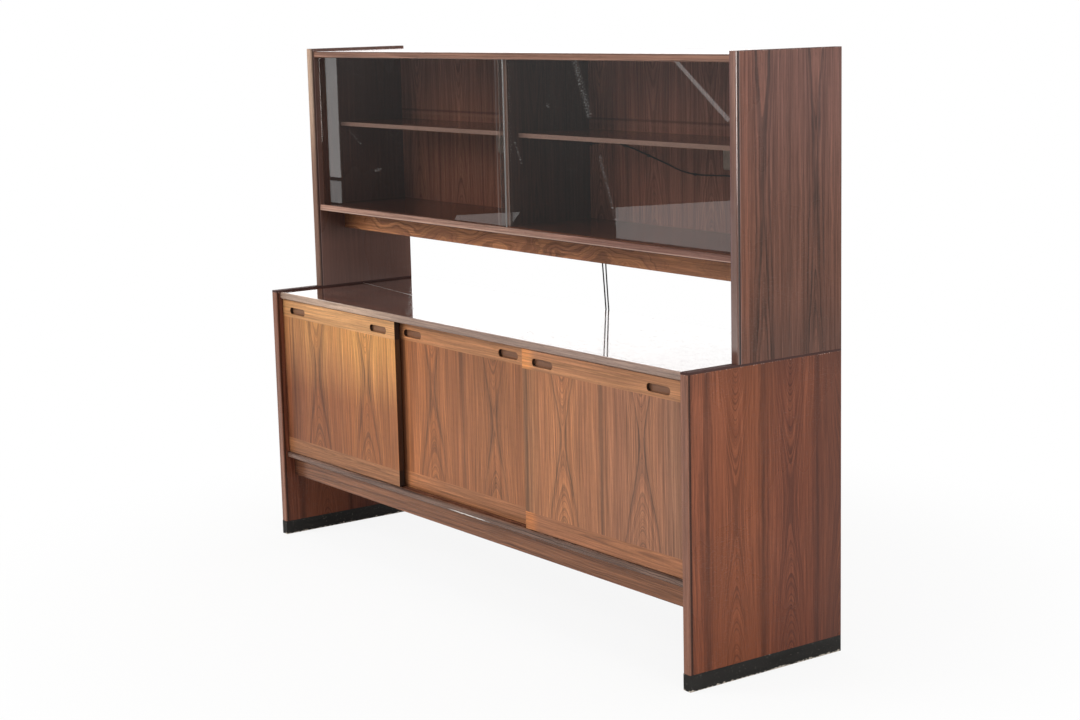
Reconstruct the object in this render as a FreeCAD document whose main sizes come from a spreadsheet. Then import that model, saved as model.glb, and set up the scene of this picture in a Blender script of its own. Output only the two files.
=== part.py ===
import FreeCAD, Part
import math
import os
import re
import Sketcher
from FreeCAD import Vector

doc = FreeCAD.newDocument("sideboard")
sheet = doc.addObject("Spreadsheet::Sheet", "sizes")

# Named sizes in millimetres. A text value is worked out from the names above it.
SIZES = [
    # Whole case
    ("overall_width", 2000),
    ("overall_height", 1520),
    ("base_depth", 500),
    ("base_height", 780),
    ("side_thickness", 26),
    ("foot_height", 42),
    ("lipping_depth", 8),
    ("lipping_round", 3),
    ("joint_groove", 0.7),
    ("overrun", 2),
    ("half_width", "overall_width / 2"),
    ("inner_half", "half_width - side_thickness"),
    ("inner_width", "2 * inner_half"),
    ("front_plane", "-base_depth / 2"),
    ("rear_plane", "base_depth / 2"),
    # Boards of the base
    ("top_drop", 5),
    ("top_thickness", 21),
    ("bottom_height", 249),
    ("bottom_thickness", 18),
    ("nosing_depth", 8),
    ("nosing_setback", 15),
    ("nosing_round", 5),
    ("apron_height", 59),
    ("apron_setback", 39),
    ("apron_thickness", 18),
    ("back_thickness", 6),
    ("back_inset", 5),
    ("top_surface", "base_height - top_drop"),
    ("top_under", "top_surface - top_thickness"),
    ("bottom_surface", "bottom_height + bottom_thickness"),
    ("nosing_plane", "front_plane + nosing_setback"),
    ("board_front", "nosing_plane + nosing_depth"),
    ("back_rear", "rear_plane - back_inset"),
    ("back_front", "back_rear - back_thickness"),
    # Doors, front to back
    ("door_lap", 4),
    ("door_thickness", 17),
    ("door_setback", 22),
    ("door_track_gap", 5),
    ("door_low_gap", 1),
    ("door_top_gap", 2),
    ("door_top_band", 52),
    ("door_bottom_band", 47),
    ("door_edge_round", 1),
    ("slip_width", 8.5),
    ("slip_side_gap", 0.75),
    ("slip_seat_gap", 0.3),
    ("slip_root", 5),
    ("slip_top_reach", 6),
    ("slip_end_gap", 12),
    ("groove_low_depth", 6),
    ("groove_top_depth", 14),
    ("grip_length", 90),
    ("grip_height", 21),
    ("grip_depth", 9),
    ("grip_edge", 45),
    ("grip_drop", 31),
    ("door_width", "(inner_width + 2 * door_lap) / 3"),
    ("left_door_gap", 0.5),
    ("middle_door_place", -24),
    ("right_door_gap", 17),
    ("door_front", "front_plane + door_setback"),
    ("rear_door_front", "door_front + door_thickness + door_track_gap"),
    ("door_low", "bottom_surface + door_low_gap"),
    ("door_high", "top_under - door_top_gap"),
    ("door_height", "door_high - door_low"),
    ("groove_width", "slip_width + 2 * slip_side_gap"),
    # Inside of the base
    ("partition_thickness", 18),
    ("partition_gap", 8),
    ("shelf_thickness", 18),
    ("shelf_height", 500),
    ("shelf_setback", 20),
    ("shelf_side_gap", 1),
    ("shelf_back_gap", 2),
    ("pin_diameter", 5),
    ("pin_depth", 7),
    ("pin_reach", 8),
    ("pin_inset", 50),
    ("pin_fit", 0.05),
    ("partition_front", "rear_door_front + door_thickness + partition_gap"),
    ("partition_place", "door_width / 2"),
    ("shelf_front", "partition_front + shelf_setback"),
    # Display top
    ("hutch_depth", 340),
    ("hutch_top_drop", 8),
    ("hutch_board_thickness", 19),
    ("hutch_floor_height", 1018),
    ("hutch_nosing_setback", 10),
    ("hutch_apron_height", 60),
    ("hutch_apron_setback", 98),
    ("hutch_apron_thickness", 18),
    ("divider_thickness", 20),
    ("divider_setback", 48),
    ("hutch_front", "rear_plane - hutch_depth"),
    ("hutch_nosing_plane", "hutch_front + hutch_nosing_setback"),
    ("hutch_board_front", "hutch_nosing_plane + nosing_depth"),
    ("hutch_floor", "hutch_floor_height + hutch_board_thickness"),
    ("hutch_top_surface", "overall_height - hutch_top_drop"),
    ("hutch_ceiling", "hutch_top_surface - hutch_board_thickness"),
    ("hutch_side_height", "overall_height - base_height"),
    ("divider_front", "hutch_front + divider_setback"),
    ("divider_half", "divider_thickness / 2"),
    # Glass panes
    ("glass_thickness", 5),
    ("glass_lap", 17),
    ("glass_setback", 25.5),
    ("glass_pitch", 12),
    ("glass_side_gap", 0.5),
    ("glass_seat_gap", 0.3),
    ("glass_end_gap", 1),
    ("glass_top_reach", 5),
    ("glass_groove_low", 5),
    ("glass_groove_top", 11),
    ("glass_edge_round", 0.8),
    ("glass_width", "inner_half - glass_end_gap + glass_lap"),
    ("glass_front", "hutch_front + glass_setback"),
    ("glass_low", "hutch_floor - glass_groove_low + glass_seat_gap"),
    ("glass_high", "hutch_ceiling + glass_top_reach"),
    ("glass_groove", "glass_thickness + 2 * glass_side_gap"),
    # Shelves of the display top
    ("display_shelf_thickness", 12),
    ("display_shelf_share", 0.5307),
    ("display_shelf_setback", 52),
    ("display_shelf_gap", 1),
    ("display_shelf_back_gap", 1),
    ("right_shelf_forward", 18),
    ("display_pin_inset", 35),
    ("display_shelf_height", "hutch_floor + display_shelf_share * (hutch_ceiling - hutch_floor)"),
    ("display_shelf_rear", "back_front - display_shelf_back_gap"),
    ("display_shelf_depth", "display_shelf_rear - divider_front - display_shelf_setback"),
    # Dowels between base and display top
    ("dowel_diameter", 10),
    ("dowel_length", 50),
    ("dowel_inset", 60),
    ("dowel_fit", 0.1),
    # Lamps and leads
    ("lamp_width", 120),
    ("lamp_depth", 28),
    ("lamp_height", 58),
    ("lamp_shelf_gap", 17),
    ("lamp_round", 6),
    ("lamp_base_depth", 6),
    ("lamp_lead_depth", 17),
    ("lamp_low", "display_shelf_height - lamp_shelf_gap - lamp_height"),
    ("right_lamp_side_gap", 244),
    ("left_lamp_side_gap", 571),
    ("right_lamp_place", "inner_half - right_lamp_side_gap - lamp_width"),
    ("left_lamp_place", "0 - inner_half + left_lamp_side_gap"),
    ("cord_diameter", 4),
    ("cord_wall_gap", 0.3),
    ("cord_bore_gap", 0.15),
    ("grommet_diameter", 10),
    ("grommet_neck", 7.4),
    ("grommet_neck_fit", 0.1),
    ("grommet_flange", 2),
    ("grommet_rise", 43),
    ("grommet_height", "lamp_low + grommet_rise"),
    ("right_grommet_place", 18),
    ("left_grommet_place", -22),
    ("clip_width", 8),
    ("clip_wall", 1.2),
    ("plug_length", 36),
    ("plug_width", 35),
    ("plug_round", 4),
    ("plug_neck_length", 12),
    ("plug_neck_diameter", 7),
    ("plug_pin_diameter", 4),
    ("plug_pin_length", 19),
    ("plug_pin_pitch", 19),
    ("floor_gap", 0.1),
    ("coil_step", 5.2),
    ("coil_outer", 27),
    ("coil_lead_out", 22),
    ("coil_clear", 85),
    ("coil_place", "back_rear + coil_clear"),
    ("right_coil_place", 220),
    ("left_coil_place", -53),
    ("floor_line", "cord_diameter / 2 + floor_gap"),
    ("plug_axis", "floor_line + coil_step"),
]

for row, (alias, value) in enumerate(SIZES, start=1):
    sheet.set(f"A{row}", alias)
    sheet.set(f"B{row}", f"={value}")
    sheet.setAlias(f"B{row}", alias)
doc.recompute()

S = {alias: float(sheet.get(alias)) for alias, _ in SIZES}
NODES = {}
TOUCH = 0.001


def bind(text):
    """Point every size name in an expression at the sheet."""
    return re.sub(r"[a-z][a-z_]*", lambda word: "sizes." + word.group(), str(text))


def worth(text):
    return float(sheet.evalExpression(bind(text)))


def minus(low, high):
    return f"({high}) - ({low})"


def locate(item, x, y, z):
    for letter, text in zip("xyz", (x, y, z)):
        item.setExpression(f"Placement.Base.{letter}", bind(text))


def box(label, x, y, z, node=True):
    """A plain board from low to high along each axis."""
    item = doc.addObject("Part::Box", label)
    for name, span in zip(("Length", "Width", "Height"), (x, y, z)):
        item.setExpression(name, bind(minus(*span)))
    locate(item, x[0], y[0], z[0])
    if node:
        NODES[label] = item
    return item


def rod(label, direction, x, y, z, diameter, length):
    """A round bar that starts at a point and runs along one axis."""
    item = doc.addObject("Part::Cylinder", label)
    item.setExpression("Radius", bind(f"({diameter}) / 2"))
    item.setExpression("Height", bind(length))
    item.Placement = FreeCAD.Placement(Vector(), FreeCAD.Rotation(Vector(0, 0, 1), Vector(*direction)))
    locate(item, x, y, z)
    return item


def gather(label, items, node=True):
    item = doc.addObject("Part::Compound", label)
    item.Links = items
    if node:
        NODES[label] = item
    return item


def drill(label, target, tools):
    """Take the holes out of a board, which becomes the node."""
    group = tools[0]
    if len(tools) > 1:
        group = doc.addObject("Part::MultiFuse", label + "_holes")
        group.Shapes = tools
    item = doc.addObject("Part::Cut", label)
    item.Base = target
    item.Tool = group
    NODES[label] = item
    return item


def plane_of(body, role):
    return next(part for part in body.Origin.OriginFeatures if part.Role == role)


def sketch_on(body, name, role="XY_Plane", lift=None):
    sketch = body.newObject("Sketcher::SketchObject", name)
    sketch.AttachmentSupport = [(plane_of(body, role), "")]
    sketch.MapMode = "FlatFace"
    if lift:
        sketch.setExpression("AttachmentOffset.Base.z", bind(lift))
    return sketch


def hold(sketch, kind, *targets, text):
    """A dimension of a sketch that follows an expression."""
    index = sketch.addConstraint(Sketcher.Constraint(kind, *targets, worth(text)))
    sketch.setExpression(f"Constraints[{index}]", bind(text))


def rectangle(sketch, u, v):
    """A rectangle from low to high along each axis of the sketch."""
    low = Vector(worth(u[0]), worth(v[0]), 0)
    high = Vector(worth(u[1]), worth(v[1]), 0)
    corners = [low, Vector(high.x, low.y, 0), high, Vector(low.x, high.y, 0)]
    first = sketch.GeometryCount
    for start, end in zip(corners, corners[1:] + corners[:1]):
        sketch.addGeometry(Part.LineSegment(start, end), False)
    for step in range(4):
        following = first + (step + 1) % 4
        sketch.addConstraint(Sketcher.Constraint("Coincident", first + step, 2, following, 1))
        kind = "Vertical" if step % 2 else "Horizontal"
        sketch.addConstraint(Sketcher.Constraint(kind, first + step))
    if str(u[0]) == "0" and str(v[0]) == "0":
        sketch.addConstraint(Sketcher.Constraint("Coincident", first, 1, -1, 1))
    else:
        hold(sketch, "DistanceX", -1, 1, first, 1, text=u[0])
        hold(sketch, "DistanceY", -1, 1, first, 1, text=v[0])
    hold(sketch, "DistanceX", first, 1, first, 2, text=minus(*u))
    hold(sketch, "DistanceY", first + 1, 1, first + 1, 2, text=minus(*v))


def slab(label, x, y, z, node=True):
    """A padded board whose body starts at its low corner."""
    body = doc.addObject("PartDesign::Body", label)
    locate(body, x[0], y[0], z[0])
    sketch = sketch_on(body, label + "_outline")
    rectangle(sketch, ("0", minus(*x)), ("0", minus(*y)))
    pad = body.newObject("PartDesign::Pad", label + "_pad")
    pad.Profile = sketch
    pad.setExpression("Length", bind(minus(*z)))
    sketch.Visibility = False
    doc.recompute()
    if node:
        NODES[label] = body
    return body


def groove(body, name, u, v, depth, lift=None, upward=False):
    """A straight groove sunk from the lifted plane of a board."""
    before = body.Shape.Volume
    sketch = sketch_on(body, name + "_line", lift=lift)
    rectangle(sketch, u, v)
    pocket = body.newObject("PartDesign::Pocket", name)
    pocket.Profile = sketch
    pocket.setExpression("Length", bind(depth))
    pocket.Reversed = upward
    doc.recompute()
    if body.Shape.Volume >= before:
        raise RuntimeError(f"{name} took nothing away")
    return pocket


def edges_at(body, test):
    """Names of the upright or level edges whose two ends both pass a test."""
    names = []
    for index, edge in enumerate(body.Tip.Shape.Edges, start=1):
        start, end = edge.Vertexes[0].Point, edge.Vertexes[-1].Point
        if test(start, end):
            names.append(f"Edge{index}")
    return names


def near(value, target):
    return abs(value - target) < TOUCH


def is_upright(start, end):
    return near(start.x, end.x) and near(start.y, end.y)


def is_level(start, end):
    return near(start.y, end.y) and near(start.z, end.z)


def ease(body, name, test, size, kind="Fillet"):
    """Round or bevel the chosen edges of a board."""
    tip = body.Tip
    names = edges_at(body, test)
    feature = body.newObject(f"PartDesign::{kind}", name)
    feature.Base = (tip, names)
    feature.setExpression("Radius" if kind == "Fillet" else "Size", bind(size))
    doc.recompute()
    return feature


# Sides, lippings and feet
for hand, low, high, inner in (
    ("left", "0 - half_width", "0 - inner_half", "side_thickness"),
    ("right", "inner_half", "half_width", "0"),
):
    outer = "0" if hand == "left" else "side_thickness"
    for level, front, base, top in (
        ("base", "front_plane", "foot_height", "base_height"),
        ("hutch", "hutch_front", "base_height", "overall_height"),
    ):
        panel_front = f"{front} + lipping_depth"
        label = f"{level}_side_{hand}"
        panel = slab(
            label + "_panel", (low, high), (panel_front, "rear_plane"), (base, top), node=False)
        skin = worth(outer)
        ease(
            panel, label + "_groove",
            lambda a, b: is_upright(a, b) and near(a.x, skin) and near(a.y, 0),
            "joint_groove", kind="Chamfer",
        )
        place = f"({low} + {high}) / 2"
        tools = []
        for spot, y in (("front", "hutch_front + dowel_inset"), ("rear", "rear_plane - dowel_inset")):
            tools.append(rod(
                f"{label}_dowel_hole_{spot}", (0, 0, 1), place, y, "base_height - dowel_length / 2",
                "dowel_diameter + 2 * dowel_fit", "dowel_length",
            ))
        wall = low if hand == "right" else high
        start = wall if hand == "right" else f"{wall} - pin_depth"
        if level == "base":
            pins = ("shelf_front + pin_inset", "back_front - shelf_back_gap - pin_inset")
            pin_height = "shelf_height - pin_diameter / 2"
        else:
            shift = "0" if hand == "left" else "right_shelf_forward"
            pins = (
                f"display_shelf_rear - {shift} - display_shelf_depth + display_pin_inset",
                f"display_shelf_rear - {shift} - display_pin_inset",
            )
            pin_height = "display_shelf_height - pin_diameter / 2"
        for spot, y in zip(("front", "rear"), pins):
            tools.append(rod(
                f"{label}_pin_hole_{spot}", (1, 0, 0), start, y, pin_height,
                "pin_diameter + 2 * pin_fit", "pin_depth",
            ))
        drill(label, panel, tools)
        label = f"{level}_lipping_{hand}"
        lipping = slab(label, (low, high), (front, panel_front), (base, top))
        ease(
            lipping, label + "_rounding", lambda a, b: is_upright(a, b) and near(a.y, 0),
            "lipping_round",
        )
        joint = S["lipping_depth"]
        ease(
            lipping, label + "_groove",
            lambda a, b: is_upright(a, b) and near(a.x, skin) and near(a.y, joint),
            "joint_groove", kind="Chamfer",
        )
    box(f"foot_{hand}", (low, high), ("front_plane", "rear_plane"), ("0", "foot_height"))

# Boards of the base
across = ("0 - inner_half", "inner_half")


def nosing(label, front, depth, low, high):
    piece = slab(label, across, (front, f"{front} + {depth}"), (low, high))
    ease(piece, label + "_rounding", lambda a, b: is_level(a, b) and near(a.y, 0), "nosing_round")
    return piece


def long_groove(body, name, centre, front, width, depth, lift=None, upward=False):
    """A groove along the whole board about a line at a given place in depth."""
    low = f"{centre} - ({width}) / 2 - ({front})"
    high = f"{centre} + ({width}) / 2 - ({front})"
    span = ("0 - overrun", "inner_width + overrun")
    return groove(body, name, span, (low, high), depth, lift, upward)


door_middle = "door_front + door_thickness / 2"
rear_door_middle = "rear_door_front + door_thickness / 2"
base_top = slab("base_top", across, ("board_front", "rear_plane"), ("top_under", "top_surface"))
base_bottom = slab(
    "base_bottom", across, ("board_front", "back_front"), ("bottom_height", "bottom_surface"))
for row, centre in (("front", door_middle), ("rear", rear_door_middle)):
    long_groove(
        base_top, f"top_{row}_groove", centre, "board_front", "groove_width", "groove_top_depth",
        upward=True,
    )
    long_groove(
        base_bottom, f"bottom_{row}_groove", centre, "board_front", "groove_width",
        "groove_low_depth", lift="bottom_thickness",
    )
nosing("base_top_nosing", "nosing_plane", "nosing_depth", "top_under", "top_surface")
nosing("base_bottom_nosing", "nosing_plane", "nosing_depth", "bottom_height", "bottom_surface")
apron_front = "front_plane + apron_setback"
box(
    "base_apron", across, (apron_front, f"{apron_front} + apron_thickness"),
    ("bottom_height - apron_height", "bottom_height"),
)
box("base_back", across, ("back_front", "back_rear"), ("bottom_height", "top_under"))

# Partitions, shelves and pins of the base
half_partition = "partition_thickness / 2"
walls = {
    "left": ("0 - inner_half", f"0 - partition_place - {half_partition}"),
    "middle": (f"0 - partition_place + {half_partition}", f"partition_place - {half_partition}"),
    "right": (f"partition_place + {half_partition}", "inner_half"),
}
pin_rows = ("shelf_front + pin_inset", "back_front - shelf_back_gap - pin_inset")
base_pins = []
for bay, (low, high) in walls.items():
    box(
        f"base_shelf_{bay}", (f"{low} + shelf_side_gap", f"{high} - shelf_side_gap"),
        ("shelf_front", "back_front - shelf_back_gap"),
        ("shelf_height", "shelf_height + shelf_thickness"),
    )
    for spot, y in zip(("front", "rear"), pin_rows):
        for end, start in (("low", f"{low} - pin_depth"), ("high", f"{high} - pin_reach")):
            base_pins.append(rod(
                f"base_pin_{bay}_{spot}_{end}", (1, 0, 0), start, y,
                "shelf_height - pin_diameter / 2", "pin_diameter", "pin_depth + pin_reach",
            ))
gather("base_shelf_pins", base_pins)
for hand, sign in (("left", "0 -"), ("right", "0 +")):
    low = f"{sign} partition_place - {half_partition}"
    high = f"{sign} partition_place + {half_partition}"
    panel = box(
        f"base_partition_{hand}_panel", (low, high), ("partition_front", "back_front"),
        ("bottom_surface", "top_under"), node=False,
    )
    tools = []
    for face, start in (("low", low), ("high", f"{high} - pin_depth")):
        for spot, y in zip(("front", "rear"), pin_rows):
            tools.append(rod(
                f"partition_hole_{hand}_{face}_{spot}", (1, 0, 0), start, y,
                "shelf_height - pin_diameter / 2", "pin_diameter + 2 * pin_fit", "pin_depth",
            ))
    drill(f"base_partition_{hand}", panel, tools)

# Sliding doors
door_places = {
    "left": ("0 - inner_half + left_door_gap", "door_front"),
    "middle": ("middle_door_place - door_width / 2", "rear_door_front"),
    "right": ("inner_half - right_door_gap - door_width", "door_front"),
}


def soften(body, name):
    """Take the sharpness off the two upright front edges of a door piece."""
    ease(body, name, lambda a, b: is_upright(a, b) and near(a.y, 0), "door_edge_round")


def grips(body, name):
    """Two blind finger slots with round ends, sunk from the front of a door band."""
    before = body.Shape.Volume
    sketch = sketch_on(body, name + "_line", role="XZ_Plane")
    radius = worth("grip_height / 2")
    first = worth("grip_edge + grip_height / 2")
    last = worth("grip_edge + grip_length - grip_height / 2")
    level = worth("door_top_band - grip_drop")
    bottom = sketch.addGeometry(
        Part.LineSegment(Vector(first, level - radius, 0), Vector(last, level - radius, 0)))
    top = sketch.addGeometry(
        Part.LineSegment(Vector(last, level + radius, 0), Vector(first, level + radius, 0)))
    turn = math.pi / 2
    upward = Vector(0, 0, 1)
    right = sketch.addGeometry(
        Part.ArcOfCircle(Part.Circle(Vector(last, level, 0), upward, radius), -turn, turn))
    left = sketch.addGeometry(
        Part.ArcOfCircle(Part.Circle(Vector(first, level, 0), upward, radius), turn, turn + math.pi))
    for one, end, other, start in (
        (bottom, 2, right, 1), (right, 2, top, 1), (top, 2, left, 1), (left, 2, bottom, 1),
    ):
        sketch.addConstraint(Sketcher.Constraint("Tangent", one, end, other, start))
    sketch.addConstraint(Sketcher.Constraint("Horizontal", bottom))
    hold(sketch, "Radius", right, text="grip_height / 2")
    hold(sketch, "DistanceX", -1, 1, left, 3, text="grip_edge + grip_height / 2")
    hold(sketch, "DistanceY", -1, 1, left, 3, text="door_top_band - grip_drop")
    hold(sketch, "DistanceX", left, 3, right, 3, text="grip_length - grip_height")
    pocket = body.newObject("PartDesign::Pocket", name)
    pocket.Profile = sketch
    pocket.setExpression("Length", bind("grip_depth"))
    doc.recompute()
    pattern = body.newObject("PartDesign::LinearPattern", name + "_pair")
    pattern.Originals = [pocket]
    pattern.Direction = (plane_of(body, "X_Axis"), [""])
    pattern.setExpression("Length", bind("door_width - 2 * grip_edge - grip_length"))
    pattern.Occurrences = 2
    body.Tip = pattern
    doc.recompute()
    area = worth("(grip_length - grip_height) * grip_height") + math.pi * radius ** 2
    taken = before - body.Shape.Volume
    print(name, "took", round(taken), "of", round(2 * area * S["grip_depth"]))


for name, (low, front) in door_places.items():
    high = f"{low} + door_width"
    rear = f"{front} + door_thickness"
    split_low = "door_low + door_bottom_band"
    split_high = "door_high - door_top_band"
    panel = slab(f"{name}_door_panel", (low, high), (front, rear), (split_low, split_high))
    soften(panel, f"{name}_door_panel_arris")
    top_band = slab(
        f"{name}_door_top_band", (low, high), (front, rear), (split_high, "door_high"), node=False)
    soften(top_band, f"{name}_door_top_arris")
    grips(top_band, f"{name}_door_grips")
    low_band = slab(
        f"{name}_door_low_band", (low, high), (front, rear), ("door_low", split_low), node=False)
    soften(low_band, f"{name}_door_low_arris")
    gather(f"{name}_door_bands", [top_band, low_band])
    slips = []
    slip_front = f"{front} + door_thickness / 2 - slip_width / 2"
    for level, base, top in (
        ("low", "bottom_surface - groove_low_depth + slip_seat_gap", "door_low"),
        ("top", "door_high", "top_under + slip_top_reach"),
    ):
        slips.append(box(
            f"{name}_door_{level}_slip", (f"{low} + slip_end_gap", f"{high} - slip_end_gap"),
            (slip_front, f"{slip_front} + slip_width"), (base, top), node=False,
        ))
    gather(f"{name}_door_slips", slips)

# Boards of the display top
hutch_bottom = slab(
    "hutch_bottom", across, ("hutch_board_front", "back_front"), ("hutch_floor_height", "hutch_floor"))
hutch_top = slab(
    "hutch_top", across, ("hutch_board_front", "back_front"), ("hutch_ceiling", "hutch_top_surface"))
pane_fronts = {"left": "glass_front", "right": "glass_front + glass_pitch"}
for name, front in pane_fronts.items():
    middle = f"{front} + glass_thickness / 2"
    long_groove(
        hutch_bottom, f"pane_{name}_low_groove", middle, "hutch_board_front", "glass_groove",
        "glass_groove_low", lift="hutch_board_thickness",
    )
    long_groove(
        hutch_top, f"pane_{name}_top_groove", middle, "hutch_board_front", "glass_groove",
        "glass_groove_top", upward=True,
    )
nosing("hutch_bottom_nosing", "hutch_nosing_plane", "nosing_depth", "hutch_floor_height", "hutch_floor")
nosing("hutch_top_nosing", "hutch_nosing_plane", "nosing_depth", "hutch_ceiling", "hutch_top_surface")
hutch_apron_front = "hutch_front + hutch_apron_setback"
box(
    "hutch_apron", across, (hutch_apron_front, f"{hutch_apron_front} + hutch_apron_thickness"),
    ("hutch_floor_height - hutch_apron_height", "hutch_floor_height"),
)

# Back of the display top, with the two lead holes
leads = {
    "right": ("right_grommet_place", "right_lamp_place"),
    "left": ("left_grommet_place", "left_lamp_place"),
}
back_panel = box(
    "hutch_back_panel", across, ("back_front", "back_rear"), ("hutch_floor_height", "hutch_top_surface"),
    node=False,
)
drill("hutch_back", back_panel, [
    rod(
        f"{name}_lead_hole", (0, 1, 0), place, "back_front", "grommet_height",
        "grommet_neck + 2 * grommet_neck_fit", "back_thickness",
    )
    for name, (place, lamp) in leads.items()
])

# Divider, shelves and pins of the display top
display_pins = []
tools = []
display_bays = {
    "left": ("0 - inner_half", "0 - divider_half", "0", "0 - divider_half"),
    "right": ("divider_half", "inner_half", "right_shelf_forward", "divider_half - pin_depth"),
}
for bay, (low, high, shift, hole) in display_bays.items():
    shelf_rear = f"display_shelf_rear - {shift}"
    box(
        f"display_shelf_{bay}", (f"{low} + display_shelf_gap", f"{high} - display_shelf_gap"),
        (f"{shelf_rear} - display_shelf_depth", shelf_rear),
        ("display_shelf_height", "display_shelf_height + display_shelf_thickness"),
    )
    rows = (f"{shelf_rear} - display_shelf_depth + display_pin_inset", f"{shelf_rear} - display_pin_inset")
    for spot, y in zip(("front", "rear"), rows):
        for end, start in (("low", f"{low} - pin_depth"), ("high", f"{high} - pin_reach")):
            display_pins.append(rod(
                f"display_pin_{bay}_{spot}_{end}", (1, 0, 0), start, y,
                "display_shelf_height - pin_diameter / 2", "pin_diameter", "pin_depth + pin_reach",
            ))
        start = "0 - divider_half" if bay == "left" else "divider_half - pin_depth"
        tools.append(rod(
            f"divider_hole_{bay}_{spot}", (1, 0, 0), start, y,
            "display_shelf_height - pin_diameter / 2", "pin_diameter + 2 * pin_fit", "pin_depth",
        ))
gather("display_shelf_pins", display_pins)
divider = box(
    "hutch_divider_panel", ("0 - divider_half", "divider_half"), ("divider_front", "back_front"),
    ("hutch_floor", "hutch_ceiling"), node=False,
)
drill("hutch_divider", divider, tools)

# Glass panes
pane_spans = {
    "left": ("0 - inner_half + glass_end_gap", "0 - inner_half + glass_end_gap + glass_width"),
    "right": ("inner_half - glass_end_gap - glass_width", "inner_half - glass_end_gap"),
}
for name, front in pane_fronts.items():
    pane = slab(
        f"glass_{name}", pane_spans[name], (front, f"{front} + glass_thickness"),
        ("glass_low", "glass_high"),
    )
    ease(pane, f"glass_{name}_ground_edge", is_upright, "glass_edge_round")

# Dowels between the base and the display top
dowels = []
for hand, place in (
    ("left", "0 - half_width + side_thickness / 2"), ("right", "half_width - side_thickness / 2"),
):
    for spot, y in (("front", "hutch_front + dowel_inset"), ("rear", "rear_plane - dowel_inset")):
        dowels.append(rod(
            f"dowel_{hand}_{spot}", (0, 0, 1), place, y, "base_height - dowel_length / 2",
            "dowel_diameter", "dowel_length",
        ))
gather("joining_dowels", dowels)

# Lamps on the back of each bay, under the shelf
lamp_bases = []
lamp_front = "back_front - lamp_depth"
for name, (hole, place) in leads.items():
    cover = slab(
        f"lamp_{name}", (place, f"{place} + lamp_width"), (lamp_front, "back_front - lamp_base_depth"),
        ("lamp_low", "lamp_low + lamp_height"),
    )
    ease(cover, f"lamp_{name}_rounding", lambda a, b: near(a.y, 0) and near(b.y, 0), "lamp_round")
    lamp_bases.append(box(
        f"lamp_base_{name}", (place, f"{place} + lamp_width"),
        ("back_front - lamp_base_depth", "back_front"), ("lamp_low", "lamp_low + lamp_height"),
        node=False,
    ))
gather("lamp_bases", lamp_bases)

# Grommets in the back
grommets = []
for name, (place, lamp) in leads.items():
    rings = [
        rod(f"grommet_{name}_{spot}", (0, 1, 0), place, y, "grommet_height", diameter, length)
        for spot, y, diameter, length in (
            ("inner", "back_front - grommet_flange", "grommet_diameter", "grommet_flange"),
            ("neck", "back_front", "grommet_neck", "back_thickness"),
            ("outer", "back_rear", "grommet_diameter", "grommet_flange"),
        )
    ]
    whole = doc.addObject("Part::MultiFuse", f"grommet_{name}_body")
    whole.Shapes = rings
    bore = rod(
        f"grommet_{name}_bore", (0, 1, 0), place, "back_front - grommet_flange", "grommet_height",
        "cord_diameter + 2 * cord_bore_gap", "back_thickness + 2 * grommet_flange",
    )
    ring = doc.addObject("Part::Cut", f"grommet_{name}")
    ring.Base = whole
    ring.Tool = bore
    grommets.append(ring)
gather("lead_grommets", grommets)

# Routes of the leads in millimetres, from the lamp to the grommet. Both sets of routes are
# moved with the pieces at their two ends.
INNER_ROUTES = {
    "right": [
        (642, 222, 1204), (640, 222.5, 1194), (631, 224, 1187.5), (617, 226.5, 1186.5), (592, 230, 1188),
        (560, 233, 1187.5), (520, 235.3, 1185.5), (470, 236.2, 1184), (430, 236.6, 1185.5),
        (390, 236.7, 1192), (345, 236.6, 1205), (290, 236.7, 1219.5), (240, 236.6, 1232),
        (190, 236.5, 1245), (140, 236, 1253.5), (95, 234.5, 1255.5), (60, 232, 1252.5),
        (38, 230, 1249), (24, 230.5, 1247.2), (18, 234, 1247), (18, 247, 1247),
    ],
    "left": [
        (-343, 222, 1204), (-341, 222.5, 1194), (-332, 224, 1187.5), (-318, 226.5, 1186.5),
        (-293, 230, 1188), (-255, 233.5, 1190), (-215, 235.8, 1196), (-170, 236.6, 1207),
        (-125, 236.5, 1221), (-88, 235.2, 1234), (-60, 232.5, 1242.5), (-42, 230.3, 1246),
        (-28.5, 230.5, 1247.1), (-22, 234, 1247), (-22, 247, 1247),
    ],
}

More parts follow.
